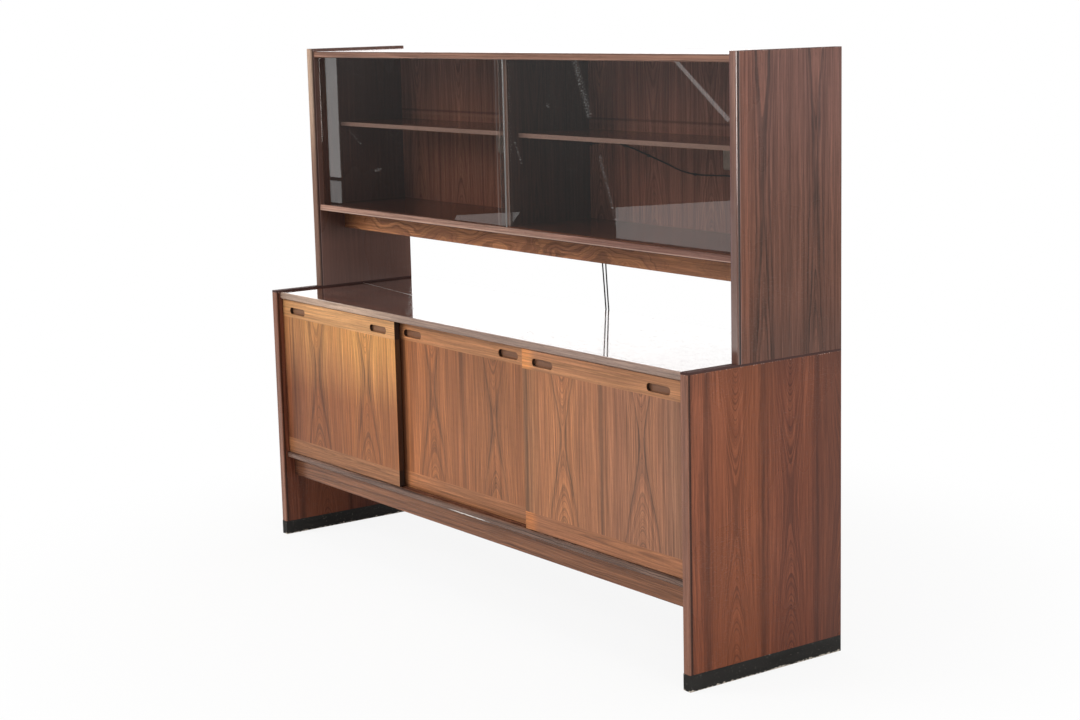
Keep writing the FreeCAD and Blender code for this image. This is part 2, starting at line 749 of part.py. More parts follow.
# Routes of the hanging cords in millimetres, from the grommet to the coil on the floor
CORD_ROUTES = {
    "right": [
        (18, 247, 1247), (18, 268, 1246), (18.5, 276, 1227), (19.2, 275.2, 1190), (19.9, 275, 1131),
        (20.5, 275.1, 1072), (21, 275, 1014), (21.9, 275.1, 956), (24.2, 275, 898), (28.4, 275.1, 840),
        (33.1, 275, 782), (38.2, 275.1, 724), (43.4, 275, 666), (48.5, 275.1, 608), (53.5, 275, 550),
        (58.4, 275.1, 492), (63.1, 275, 434), (67.7, 275.1, 376), (72.1, 275, 318), (76.4, 275.1, 260),
        (80.4, 275, 202), (84.2, 275.1, 145), (87.6, 275, 95), (90.5, 275.4, 55), (92.5, 277, 27),
        (98, 281, 9), (111, 286.5, 2.4), (131, 293, 2.1), (158, 299.5, 2.1), (189, 303, 2.1),
        (216, 303, 2.1),
    ],
    "left": [
        (-22, 247, 1247), (-22, 268, 1246), (-21, 276, 1227), (-18.3, 275.2, 1190), (-13.2, 275, 1131),
        (-7.4, 275.1, 1072), (-1.9, 275, 1014), (3.9, 275.1, 956), (9.5, 275, 898), (15, 275.1, 840),
        (20.3, 275, 782), (25.4, 275.1, 724), (30.3, 275, 666), (35.2, 275.1, 608), (40.1, 275, 550),
        (44.9, 275.1, 492), (49.6, 275, 434), (54.2, 275.1, 376), (58.7, 275, 318), (63.1, 275.1, 260),
        (67.3, 275, 202), (71.2, 275.1, 145), (74, 275, 98), (75.3, 275.4, 57), (74, 277, 28),
        (68, 281, 9), (55, 286.5, 2.4), (35, 293, 2.1), (8, 299.5, 2.1), (-22, 303, 2.1), (-49, 303, 2.1),
    ],
}


def follow(route, axis, first, last):
    """Move a route so that it starts and ends at two points, more by the nearer one."""
    start, end = Vector(*route[0]), Vector(*route[-1])
    spots = []
    for point in route:
        share = (point[axis] - end[axis]) / (start[axis] - end[axis])
        spots.append(Vector(*point) + (first - start) * share + (last - end) * (1 - share))
    return spots


def sagging_wire(label, spots):
    """Straight runs joined by tangent arcs, each as large as its runs allow."""
    edges = []
    radii = []
    here = spots[0]
    for before, corner, after in zip(spots, spots[1:], spots[2:]):
        come = corner - before
        go = after - corner
        half_turn = come.getAngle(go) / 2
        cut = ARC_SHARE * min(come.Length, go.Length)
        radii.append(cut / math.tan(half_turn))
        come.normalize()
        go.normalize()
        start = corner - come * cut
        end = corner + go * cut
        inward = (go - come).normalize()
        middle = corner + inward * (radii[-1] * (1 / math.cos(half_turn) - 1))
        edges.append(Part.LineSegment(here, start).toShape())
        edges.append(Part.Arc(start, middle, end).toShape())
        here = end
    edges.append(Part.LineSegment(here, spots[-1]).toShape())
    print(label, "radii", " ".join(f"{radius:.0f}" for radius in radii))
    return Part.Wire(edges)


ARC_SHARE = 0.45


def round_tube(label, wire):
    """A round tube of the cord's diameter along a wire."""
    first = wire.OrderedEdges[0]
    start = first.valueAt(first.FirstParameter)
    heading = first.tangentAt(first.FirstParameter)
    radius = S["cord_diameter"] / 2
    section = Part.Wire(Part.makeCircle(radius, start, heading))
    solid = wire.makePipeShell([section], True, False)
    expected = math.pi * radius ** 2 * wire.Length
    print(label, f"length {wire.Length:.0f} volume {solid.Volume:.0f} of {expected:.0f}")
    item = doc.addObject("Part::Feature", label)
    item.Shape = solid
    return item


def tangent_arc(start, end, heading):
    """The arc from start to end that leaves along a heading."""
    chord = end - start
    along = Vector(chord).normalize()
    side = heading - along * heading.dot(along)
    if side.Length < TOUCH:
        return Part.LineSegment(start, end).toShape()
    angle = heading.getAngle(along)
    middle = (start + end) / 2 + side.normalize() * (chord.Length / 2 * math.tan(angle / 2))
    return Part.Arc(start, middle, end).toShape()


def biarc(start, start_way, end, end_way):
    """Two tangent arcs between two points with given headings."""
    gap = end - start
    both = start_way + end_way
    spread = 2 * (1 - start_way.dot(end_way))
    reach = gap.dot(both)
    step = (math.sqrt(reach ** 2 + spread * gap.dot(gap)) - reach) / spread
    joint = (start + end + (start_way - end_way) * step) / 2
    first = tangent_arc(start, joint, start_way)
    back = tangent_arc(end, joint, end_way * -1)
    points = [back.valueAt(back.FirstParameter + (back.LastParameter - back.FirstParameter) * share)
              for share in HALF_SHARES]
    return [first, Part.Arc(joint, points[1], end).toShape()]


HALF_SHARES = (0, 0.5, 1)
COIL_TURNS = (2, 0.5, 1.5)
KNOTS_PER_TURN = 4
SAMPLES_PER_TURN = 60


def coil_point(turn, middle, side):
    """A point of the coil after a number of turns: in, up, and out again."""
    inward, climb, outward = COIL_TURNS
    step = S["coil_step"]
    inner = S["coil_outer"] - step * inward
    rise = min(max((turn - inward) / climb, 0), 1)
    rise = rise * rise * (3 - 2 * rise)
    if turn < inward:
        radius = S["coil_outer"] - step * turn
    else:
        radius = inner + step * max(turn - inward - climb, 0)
    angle = 2 * math.pi * turn - math.pi / 2
    return Vector(
        S[middle] + side * radius * math.cos(angle),
        S["coil_place"] + radius * math.sin(angle),
        S["floor_line"] + step * rise,
    )


def coil(label, middle, side):
    """A put-away coil in two layers, with a straight stub at each end."""
    total = sum(COIL_TURNS)
    knots = [count / KNOTS_PER_TURN for count in range(int(total * KNOTS_PER_TURN) + 1)]
    nudge = 1 / SAMPLES_PER_TURN ** 2
    spots = [coil_point(turn, middle, side) for turn in knots]
    ways = [
        (coil_point(turn + nudge, middle, side) - coil_point(turn - nudge, middle, side)).normalize()
        for turn in knots
    ]
    ways[0] = ways[-1] = Vector(side, 0, 0)
    stub = ways[0] * S["cord_diameter"]
    edges = [Part.LineSegment(spots[0] - stub, spots[0]).toShape()]
    for index in range(len(knots) - 1):
        edges.extend(biarc(spots[index], ways[index], spots[index + 1], ways[index + 1]))
    tip = spots[-1] + ways[-1] * S["coil_lead_out"]
    edges.append(Part.LineSegment(spots[-1], tip).toShape())
    wire = Part.Wire(edges)
    samples = [coil_point(count / SAMPLES_PER_TURN, middle, side)
               for count in range(int(total * SAMPLES_PER_TURN) + 1)]
    apart = SAMPLES_PER_TURN // 3
    least = min(
        (samples[a] - samples[b]).Length
        for a in range(len(samples)) for b in range(a + apart, len(samples))
    )
    print(label, f"least gap to itself {least - S['cord_diameter']:.2f}")
    NODES[label] = round_tube(label, wire)
    return tip


def saddle(label, start, end):
    """A small clip over a lead at the middle of a run, seated on the back."""
    middle = (start + end) / 2
    length, wall = S["clip_width"], S["clip_wall"]
    half = S["cord_diameter"] / 2 + wall
    front = half
    rear = S["back_front"] - middle.y
    block = Part.makeBox(length, front + rear, 2 * half, Vector(-length / 2, -front, -half))
    bore_radius = S["cord_diameter"] / 2 + S["cord_bore_gap"]
    bore_start = Vector(-length / 2 - wall, 0, 0)
    bore = Part.makeCylinder(bore_radius, length + 2 * wall, bore_start, Vector(1, 0, 0))
    slot = Part.makeBox(
        length + 2 * wall, rear + wall, 2 * bore_radius, Vector(-length / 2 - wall, 0, -bore_radius))
    shape = block.cut(bore).cut(slot)
    slope = math.degrees(math.atan2(end.z - start.z, end.x - start.x))
    item = doc.addObject("Part::Feature", label)
    item.Shape = shape
    item.Placement = FreeCAD.Placement(middle, FreeCAD.Rotation(Vector(0, -1, 0), slope))
    return item


inner_leads = []
clips = []
CLIP_RUN_SHARES = {"right": (0.35, 0.55, 0.65), "left": (0.5,)}
HOLE_ENDS = {
    name: Vector(S[hole], S["back_rear"] + S["grommet_flange"], S["grommet_height"])
    for name, (hole, lamp) in leads.items()
}
for name, (hole, lamp) in leads.items():
    lamp_end = Vector(
        S[lamp] + S["lamp_width"] / 2, S["back_front"] - S["lamp_lead_depth"], S["lamp_low"])
    route = follow(INNER_ROUTES[name], 0, lamp_end, HOLE_ENDS[name])
    inner_leads.append(round_tube(f"inner_lead_{name}", sagging_wire(f"inner_lead_{name}", route)))
    for share in CLIP_RUN_SHARES[name]:
        run = round(share * (len(route) - 1))
        clips.append(saddle(f"clip_{name}_{run}", route[run], route[run + 1]))
gather("inner_leads", inner_leads)
gather("lead_clips", clips)

# Hanging cords, coils and plugs
for name, side, middle in (("right", 1, "right_coil_place"), ("left", -1, "left_coil_place")):
    label = f"cord_{name}"
    floor_end = Vector(
        S[middle] - side * S["cord_diameter"], S["coil_place"] - S["coil_outer"], S["floor_line"])
    route = follow(CORD_ROUTES[name], 2, HOLE_ENDS[name], floor_end)
    NODES[label] = round_tube(label, sagging_wire(label, route))
    tip = coil(f"cord_coil_{name}", middle, side)
    neck = Part.makeCone(
        S["cord_diameter"] / 2 + S["clip_wall"] / 2, S["plug_neck_diameter"] / 2, S["plug_neck_length"],
        tip, Vector(side, 0, 0),
    )
    length, width, height = S["plug_length"], S["plug_width"], 2 * S["plug_axis"]
    near_end = tip.x + side * S["plug_neck_length"]
    low_end = min(near_end, near_end + side * length)
    block = Part.makeBox(length, width, height, Vector(low_end, tip.y - width / 2, 0))
    block = block.makeFillet(S["plug_round"], [
        edge for edge in block.Edges if abs(edge.tangentAt(0).x) > HALF_SHARES[1]])
    body = doc.addObject("Part::Feature", f"plug_{name}")
    body.Shape = block.fuse(neck).removeSplitter()
    NODES[f"plug_{name}"] = body
    far_end = near_end + side * length
    plug_pins = []
    for offset in (-1, 1):
        pin = Part.makeCylinder(
            S["plug_pin_diameter"] / 2, S["plug_pin_length"],
            Vector(far_end, tip.y + offset * S["plug_pin_pitch"] / 2, tip.z), Vector(side, 0, 0),
        )
        item = doc.addObject("Part::Feature", f"plug_pin_{name}_{'near' if offset < 0 else 'far'}")
        item.Shape = pin
        plug_pins.append(item)
    gather(f"plug_pins_{name}", plug_pins)

# Check every piece and write one file for each node
doc.recompute()
for item in doc.Objects:
    if "Invalid" in item.State or "Error" in item.State:
        raise RuntimeError(f"{item.Name} did not build: {item.State}")
os.makedirs("parts", exist_ok=True)
for label, item in NODES.items():
    shape = item.Shape
    if shape.isNull() or not shape.isValid() or not shape.Solids:
        raise RuntimeError(f"{label} has no sound shape")
    shape.exportStep(f"parts/{label}.step")
    low, high = shape.BoundBox, shape.BoundBox
    print(
        f"{label:22s} {len(shape.Solids):2d} "
        f"x {low.XMin:8.1f} {high.XMax:8.1f} y {low.YMin:7.1f} {high.YMax:7.1f} "
        f"z {low.ZMin:7.1f} {high.ZMax:7.1f}"
    )
print("nodes", len(NODES))
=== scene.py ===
import math

import bmesh
import bpy
from mathutils import Matrix, Vector


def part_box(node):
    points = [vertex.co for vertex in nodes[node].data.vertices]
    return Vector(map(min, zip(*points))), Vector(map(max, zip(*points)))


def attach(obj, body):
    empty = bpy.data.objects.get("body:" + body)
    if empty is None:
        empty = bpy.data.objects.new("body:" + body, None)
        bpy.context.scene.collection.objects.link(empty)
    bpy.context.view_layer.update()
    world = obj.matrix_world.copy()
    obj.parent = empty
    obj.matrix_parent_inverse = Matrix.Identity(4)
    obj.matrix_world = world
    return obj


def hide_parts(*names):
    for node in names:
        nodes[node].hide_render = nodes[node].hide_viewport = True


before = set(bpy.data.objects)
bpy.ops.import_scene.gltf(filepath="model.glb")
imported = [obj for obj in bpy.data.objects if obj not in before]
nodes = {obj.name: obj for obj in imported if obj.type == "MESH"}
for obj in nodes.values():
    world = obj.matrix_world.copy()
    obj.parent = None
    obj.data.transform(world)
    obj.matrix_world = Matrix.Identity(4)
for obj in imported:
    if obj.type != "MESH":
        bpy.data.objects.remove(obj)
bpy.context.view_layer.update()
print("frame loaded:", len(nodes), "pieces")

# The camera stands where the photograph was taken from
camera = {
    "place": (4.5739, -3.2630, 1.6314),
    "turn": 54.065,  # degrees to the left of straight ahead
    "down": 9.873,
    "roll": -1.389,
    "lens": 67.63,
    "sensor": 36.0,
    "seesTo": 100,
}


def aimCamera():
    turn, down, roll = (math.radians(camera[name]) for name in ("turn", "down", "roll"))
    ahead = Vector((-math.sin(turn) * math.cos(down), math.cos(turn) * math.cos(down), -math.sin(down)))
    across = Vector((math.cos(turn), math.sin(turn), 0))
    above = across.cross(ahead)
    right = across * math.cos(roll) + above * math.sin(roll)
    up = above * math.cos(roll) - across * math.sin(roll)
    data = bpy.data.cameras.new("photoCamera")
    data.sensor_fit = "HORIZONTAL"
    data.sensor_width = camera["sensor"]
    data.lens = camera["lens"]
    data.clip_end = camera["seesTo"]
    item = bpy.data.objects.new("photoCamera", data)
    bpy.context.scene.collection.objects.link(item)
    turned = Matrix((right, up, -ahead)).transposed().to_4x4()
    item.matrix_world = Matrix.Translation(camera["place"]) @ turned
    bpy.context.scene.camera = item


aimCamera()
bpy.context.scene.view_settings.view_transform = "Standard"

# The two lamp cords hang behind the case, and their spare length is coiled on the floor
cords = {
    "diameter": 0.004,
    "onFloor": 0.0021,
    "layerRise": 0.0052,
    "coilOuter": 0.027,
    "coilStep": 0.0052,
    "coilPlace": 0.330,
    "turnsIn": 2.0,
    "climb": 0.5,
    "turnsOut": 1.5,
    "pointsPerTurn": 16,
    "leadOut": 0.022,
    "splineOrder": 3,
    "stepsAlong": 6,
    "stepsAround": 4,
    "right": {
        "side": 1, "middle": 0.220, "length": 1.93,
        "route": [
            (0.018, 0.247, 1.247), (0.018, 0.268, 1.246), (0.0185, 0.276, 1.227), (0.0192, 0.2752, 1.190),
            (0.0199, 0.275, 1.131), (0.0205, 0.2751, 1.072), (0.021, 0.275, 1.014), (0.0219, 0.2751, 0.956),
            (0.0242, 0.275, 0.898), (0.0284, 0.2751, 0.840), (0.0331, 0.275, 0.782), (0.0382, 0.2751, 0.724),
            (0.0434, 0.275, 0.666), (0.0485, 0.2751, 0.608), (0.0535, 0.275, 0.550), (0.0584, 0.2751, 0.492),
            (0.0631, 0.275, 0.434), (0.0677, 0.2751, 0.376), (0.0721, 0.275, 0.318), (0.0764, 0.2751, 0.260),
            (0.0804, 0.275, 0.202), (0.0842, 0.2751, 0.145), (0.0876, 0.275, 0.095), (0.0905, 0.2754, 0.055),
            (0.0925, 0.277, 0.027), (0.098, 0.281, 0.009), (0.111, 0.2865, 0.0024), (0.131, 0.293, 0.0021),
            (0.158, 0.2995, 0.0021), (0.189, 0.303, 0.0021), (0.216, 0.303, 0.0021),
        ],
    },
    "left": {
        "side": -1, "middle": -0.053, "length": 1.93,
        "route": [
            (-0.022, 0.247, 1.247), (-0.022, 0.268, 1.246), (-0.021, 0.276, 1.227), (-0.0183, 0.2752, 1.190),
            (-0.0132, 0.275, 1.131), (-0.0074, 0.2751, 1.072), (-0.0019, 0.275, 1.014),
            (0.0039, 0.2751, 0.956), (0.0095, 0.275, 0.898), (0.015, 0.2751, 0.840), (0.0203, 0.275, 0.782),
            (0.0254, 0.2751, 0.724), (0.0303, 0.275, 0.666), (0.0352, 0.2751, 0.608), (0.0401, 0.275, 0.550),
            (0.0449, 0.2751, 0.492), (0.0496, 0.275, 0.434), (0.0542, 0.2751, 0.376), (0.0587, 0.275, 0.318),
            (0.0631, 0.2751, 0.260), (0.0673, 0.275, 0.202), (0.0712, 0.2751, 0.145), (0.074, 0.275, 0.098),
            (0.0753, 0.2754, 0.057), (0.074, 0.277, 0.028), (0.068, 0.281, 0.009), (0.055, 0.2865, 0.0024),
            (0.035, 0.293, 0.0021), (0.008, 0.2995, 0.0021), (-0.022, 0.303, 0.0021), (-0.049, 0.303, 0.0021),
        ],
    },
}


# Where the coil is after some turns: inwards, up a layer, and outwards again
def coilPoint(turn, middle, side):
    inner = cords["coilOuter"] - cords["coilStep"] * cords["turnsIn"]
    rise = min(max((turn - cords["turnsIn"]) / cords["climb"], 0), 1)
    radius = cords["coilOuter"] - cords["coilStep"] * turn
    if turn >= cords["turnsIn"]:
        radius = inner + cords["coilStep"] * max(turn - cords["turnsIn"] - cords["climb"], 0)
    angle = math.tau * turn - math.pi / 2
    return (
        middle + side * radius * math.cos(angle),
        cords["coilPlace"] + radius * math.sin(angle),
        cords["onFloor"] + cords["layerRise"] * rise * rise * (3 - 2 * rise),
    )


def makeCord(name):
    cord = cords[name]
    turns = cords["turnsIn"] + cords["climb"] + cords["turnsOut"]
    count = round(turns * cords["pointsPerTurn"])
    points = list(cord["route"])
    for step in range(count + 1):
        points.append(coilPoint(step / cords["pointsPerTurn"], cord["middle"], cord["side"]))
    last = points[-1]
    points.append((last[0] + cord["side"] * cords["leadOut"] / 2, last[1], last[2]))
    points.append((last[0] + cord["side"] * cords["leadOut"], last[1], last[2]))
    curve = bpy.data.curves.new("lampCord" + name.capitalize(), "CURVE")
    curve.dimensions = "3D"
    curve.resolution_u = cords["stepsAlong"]
    curve.bevel_depth = 1.0  # each point's radius gives the size
    curve.bevel_resolution = cords["stepsAround"]
    curve.use_fill_caps = True
    spline = curve.splines.new("NURBS")
    spline.points.add(len(points) - 1)
    for point, place in zip(spline.points, points):
        point.co = (*place, 1)
        point.radius = cords["diameter"] / 2
    spline.use_endpoint_u = True
    spline.order_u = cords["splineOrder"]
    item = bpy.data.objects.new(curve.name, curve)
    bpy.context.scene.collection.objects.link(item)
    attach(item, "case")
    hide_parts(f"cord_{name}", f"cord_coil_{name}")
    return item


cordItems = {name: makeCord(name) for name in ("right", "left")}
print("cords laid")


# Short helpers for materials
def paint(red, green, blue):  # a colour given as it looks on screen, from 0 to 255
    shares = (value / 255 for value in (red, green, blue))
    return (*(s / 12.92 if s <= 0.04045 else ((s + 0.055) / 1.055) ** 2.4 for s in shares), 1)


def put(tree, kind, inputs=None, **settings):
    item = tree.nodes.new("ShaderNode" + kind)
    for name, value in settings.items():
        setattr(item, name, value)
    for key, value in (inputs or {}).items():
        if isinstance(value, bpy.types.NodeSocket):
            tree.links.new(value, item.inputs[key])
        else:
            item.inputs[key].default_value = value
    return item


# A node in the tree of the sockets that it is given
def follow(kind, inputs, **settings):
    sockets = [value for value in inputs.values() if isinstance(value, bpy.types.NodeSocket)]
    return put(sockets[0].id_data, kind, inputs, **settings).outputs


def calc(operation, first, second=0.0, clamp=False):
    return follow("Math", {0: first, 1: second}, operation=operation, use_clamp=clamp)[0]


def plus(total, *others):
    for value in others:
        total = calc("ADD", total, value)
    return total


def minus(first, second):
    return calc("SUBTRACT", first, second)


def times(total, *others):
    for value in others:
        total = calc("MULTIPLY", total, value)
    return total


def divide(first, second, clamp=False):
    return calc("DIVIDE", first, second, clamp)


def larger(first, second):
    return calc("MAXIMUM", first, second)


def apartFrom(value, place):
    return calc("ABSOLUTE", minus(value, place))


def bell(value, fall):  # 1 in the middle, falling smoothly on both sides
    return calc("EXPONENT", times(value, value, -fall))


def blend(share, first, second, kind="MIX"):
    colours = {0: share, 6: first, 7: second}
    return follow("Mix", colours, data_type="RGBA", blend_type=kind)[2]


# A value between the first two limits goes to between the second two, evenly or with soft ends
def spread(value, low, high, toLow=0.0, toHigh=1.0, kind="LINEAR"):
    limits = {0: value, 1: low, 2: high, 3: toLow, 4: toHigh}
    return follow("MapRange", limits, interpolation_type=kind)[0]


def ease(*limits):
    return spread(*limits, kind="SMOOTHSTEP")


def noise(vector, scale, detail=2.0, roughness=0.5):
    inputs = {"Vector": vector, "Scale": scale, "Detail": detail, "Roughness": roughness}
    return follow("TexNoise", inputs)["Fac"]


def vectorMath(operation, first, second):
    return follow("VectorMath", {0: first, 1: second}, operation=operation)


def stretch(vector, amounts):
    return vectorMath("MULTIPLY", vector, amounts)[0]


def scaled(vector, amount):
    return follow("VectorMath", {0: vector, "Scale": amount}, operation="SCALE")[0]


def objectSpot(tree):
    return put(tree, "TexCoord").outputs["Object"]


def splitAxes(vector):
    return follow("SeparateXYZ", {0: vector})


# Links a material's shader to its colour, roughness and small relief
def feed(shader, colour, rough, relief=None, strength=0.0, depth=0.0):
    links = shader.id_data.links
    links.new(colour, shader.inputs["Base Color"])
    links.new(rough, shader.inputs["Roughness"])
    if relief:
        bump = follow("Bump", {"Height": relief, "Strength": strength, "Distance": depth})
        links.new(bump[0], shader.inputs["Normal"])


# A node group with named sockets: its tree, its inputs, and its outputs
def newGroup(name, ins, outs):
    tree = bpy.data.node_groups.new(name, "ShaderNodeTree")
    for label, (kind, value) in ins.items():
        socket = tree.interface.new_socket(label, in_out="INPUT", socket_type="NodeSocket" + kind)
        if value is not None:
            socket.default_value = value
    for label, kind in outs.items():
        tree.interface.new_socket(label, in_out="OUTPUT", socket_type="NodeSocket" + kind)
    return tree, tree.nodes.new("NodeGroupInput").outputs, tree.nodes.new("NodeGroupOutput").inputs


def newMaterial(name, **values):
    material = bpy.data.materials.new(name)
    material.use_nodes = True
    tree = material.node_tree
    shader = tree.nodes["Principled BSDF"]
    for label, value in values.items():
        shader.inputs[label.replace("_", " ")].default_value = value
    return material, tree, shader


def usePart(tree, group, inputs):
    return put(tree, "Group", inputs, node_tree=group).outputs


# Object coordinates in the order across the grain, along it, and through the board
def grainVector(tree, order):
    parts = splitAxes(objectSpot(tree))
    picked = {key: parts["XYZ".index(letter)] for key, letter in zip("XYZ", order)}
    return follow("CombineXYZ", picked)[0]


def dress(material, *names):
    for name in names:
        slots = nodes[name].material_slots
        for slot in slots:
            slot.material = material
        if not slots:
            nodes[name].data.materials.append(material)


# What all veneers share. First, how fine each pattern is across, along and through the grain
veneer = {
    "sway": (4, 2.2, 4), "ripple": (26, 13, 26), "patches": (24, 8, 24), "cloud": (3, 1.5, 3),
    "fibre": (420, 9, 420), "thread": (150, 2.5, 150), "pores": (1500, 42, 1500),
    "narrowRings": (5.5, 2.5, 1), "arcs": (2.6, 1.6, 1),
    # How far each pattern darkens and lightens the wood
    "cloudTone": (0.88, 1.1), "leafTone": (0.94, 1.06), "fibreTone": (0.80, 1.18),
    "threadTone": (0.68, 1.28), "poreDepth": 0.55, "arcDepth": 0.85,
    "leafLift": 0.05,  # how much the flames differ in height from leaf to leaf
    "tipRound": 0.00014,  # rounds the tips of the flames
    "ringDrift": 0.9, "leafDrift": 0.13,  # how the rings change along the grain and with each leaf
    "streaks": ((0.0, 1.0), (1.9, 0.5), (-1.6, 0.4), (4.2, 0.3)),  # place in widths, and depth
    "streakFall": 1.6,
    "fibreHeight": 0.35,
}
# The figure's sockets, named as in the table of woods
figureValues = (
    "leafWidth", "leafPlace", "pinch", "flameWidth", "flameReach", "streakPlace", "streakWidth",
    "streakDepth", "seamDepth", "seamWidth", "rings", "contrast", "wander", "ripple", "seed",
)
figureColours = ("pale", "body", "dark")


# Veneer figure: leaves laid side by side, each with a flame that narrows at one height
def buildFigure():
    sockets = {"Vector": ("Vector", None)}
    sockets.update({name: ("Float", None) for name in figureValues})
    sockets.update({name: ("Color", None) for name in figureColours})
    tree, given, made = newGroup(
        "veneerFigure", sockets, {"Color": "Color", "Height": "Float", "Matt": "Float"})
    parts = splitAxes(given["Vector"])
    across, along = parts[0], parts[1]
    shifted = put(tree, "CombineXYZ", {axis: given["seed"] for axis in range(3)}).outputs[0]
    spot = vectorMath("ADD", given["Vector"], shifted)[0]

    def pattern(name, detail, roughness=0.5):
        return noise(stretch(spot, veneer[name]), 1.0, detail, roughness)

    sway = times(minus(pattern("sway", 2.0), 0.5), given["wander"])
    ripple = times(minus(pattern("ripple", 3.0, 0.6), 0.5), given["ripple"])
    place = plus(across, plus(sway, ripple))
    leaf = plus(divide(minus(place, given["leafPlace"]), given["leafWidth"]), 0.5)
    number = calc("FLOOR", leaf)
    fromFlame = times(minus(calc("FRACT", leaf), 0.5), given["leafWidth"])
    draw = {"W": plus(number, given["seed"])}
    chance = put(tree, "TexWhiteNoise", draw, noise_dimensions="1D").outputs[0]
    lift = times(minus(chance, 0.5), veneer["leafLift"])
    height = plus(minus(along, given["pinch"]), lift)
    fall = bell(divide(fromFlame, given["flameWidth"]), 1)
    far = calc("SQRT", plus(times(fromFlame, fromFlame), veneer["tipRound"]))
    ring = minus(far, times(height, height, given["flameReach"], fall))
    # Growth rings, wide and narrow, and the arcs of each flame
    lean = put(tree, "CombineXYZ", {
        0: times(ring, given["rings"]),
        1: times(along, veneer["ringDrift"]),
        2: plus(given["seed"], times(number, veneer["leafDrift"])),
    }).outputs[0]
    broad = spread(noise(lean, 1.0, 3.0, 0.55), 0.25, 0.75)
    narrow = noise(stretch(lean, veneer["narrowRings"]), 1.0, 3.0, 0.6)
    colour = blend(broad, given["body"], given["pale"])
    ringShade = times(ease(narrow, 0.52, 0.72), given["contrast"])
    colour = blend(ringShade, colour, given["dark"])
    arcs = noise(stretch(lean, veneer["arcs"]), 1.0, 2.0, 0.5)
    arcs = times(ease(arcs, 0.5, 0.62), spread(fall, 0.15, 0.8))
    arcs = times(arcs, times(given["contrast"], veneer["arcDepth"]))
    colour = blend(arcs, colour, given["dark"])
    # Dark streaks that frame each flame, and one where the leaves meet
    streak = 0.0
    for widths, depth in veneer["streaks"]:
        middle = plus(given["streakPlace"], times(given["streakWidth"], widths))
        offset = divide(minus(ring, middle), given["streakWidth"])
        streak = larger(streak, times(bell(offset, veneer["streakFall"]), depth))
    patchy = spread(pattern("patches", 3.0), 0.34, 0.6, 0.35, 1.0)
    streak = times(streak, given["streakDepth"], patchy)
    edge = minus(calc("ABSOLUTE", fromFlame), times(given["leafWidth"], 0.5))
    seam = bell(divide(edge, given["seamWidth"]), 1)
    seam = times(seam, given["seamDepth"], spread(narrow, 0.35, 0.6, 0.5, 1.0))
    colour = blend(larger(streak, seam), colour, given["dark"])
    # Slow changes of tone, fine fibres and open pores
    cloud, fibre = pattern("cloud", 3.0), pattern("fibre", 2.0)
    tone = spread(cloud, 0.3, 0.7, *veneer["cloudTone"])
    tone = times(tone, spread(chance, 0.0, 1.0, *veneer["leafTone"]))
    tone = times(tone, spread(fibre, 0.3, 0.7, *veneer["fibreTone"]))
    tone = times(tone, spread(pattern("thread", 3.0, 0.6), 0.3, 0.7, *veneer["threadTone"]))
    grey = put(tree, "CombineColor", {channel: tone for channel in range(3)}).outputs[0]
    colour = blend(1.0, colour, grey, "MULTIPLY")
    pores = ease(pattern("pores", 1.0), 0.62, 0.74)
    colour = blend(times(pores, veneer["poreDepth"]), colour, given["dark"])
    tree.links.new(colour, made["Color"])
    tree.links.new(minus(times(fibre, veneer["fibreHeight"]), pores), made["Height"])
    tree.links.new(plus(times(pores, 0.5), times(cloud, 0.5)), made["Matt"])
    return tree


figureGroup = buildFigure()

# Handling marks: fine dust and small scratches
handling = {
    "speckScale": 260.0, "cloudScale": 5.0, "scratches": (7, 90, 40), "scratchScale": 1.3,
    "scratchBend": 22.0, "everywhere": 0.05,
}


def buildMarks():
    tree, given, made = newGroup("handlingMarks", {
        "Vector": ("Vector", None), "Amount": ("Float", 0.5), "Scale": ("Float", 1.0),
    }, {"Mask": "Float"})
    spot = scaled(given["Vector"], given["Scale"])
    specks = ease(noise(spot, handling["speckScale"], 2.0), 0.66, 0.78)
    cloud = ease(noise(spot, handling["cloudScale"], 4.0, 0.6), 0.42, 0.75)
    scratches = put(tree, "TexWave", {
        "Vector": stretch(spot, handling["scratches"]), "Scale": handling["scratchScale"],
        "Distortion": handling["scratchBend"], "Detail": 3.0,
    }).outputs["Fac"]
    mask = times(larger(specks, spread(scratches, 0.985, 1.0)), cloud)
    mask = plus(mask, times(cloud, handling["everywhere"]))
    tree.links.new(calc("MULTIPLY", mask, given["Amount"], clamp=True), made["Mask"])
    return tree


marksGroup = buildMarks()


# A wiped streak or scratch between two points of a flattened vector
def buildSmear():
    tree, given, made = newGroup("wipedStreak", {
        "Vector": ("Vector", None), "Start": ("Vector", None), "End": ("Vector", None),
        "Width": ("Float", 0.01), "Broken": ("Float", 1.0),
    }, {"Mask": "Float"})
    run = vectorMath("SUBTRACT", given["End"], given["Start"])[0]
    reach = vectorMath("SUBTRACT", given["Vector"], given["Start"])[0]
    along = vectorMath("DOT_PRODUCT", reach, run)["Value"]
    square = vectorMath("DOT_PRODUCT", run, run)["Value"]
    nearest = scaled(run, divide(along, square, clamp=True))
    apart = vectorMath("DISTANCE", reach, nearest)["Value"]
    mask = ease(divide(apart, given["Width"]), 0.2, 1.0, 1.0, 0.0)
    specks = ease(noise(given["Vector"], 240.0, 3.0, 0.8), 0.55, 0.66)
    specks = plus(times(specks, given["Broken"]), minus(1.0, given["Broken"]))
    tree.links.new(times(mask, specks), made["Mask"])
    return tree


smearGroup = buildSmear()

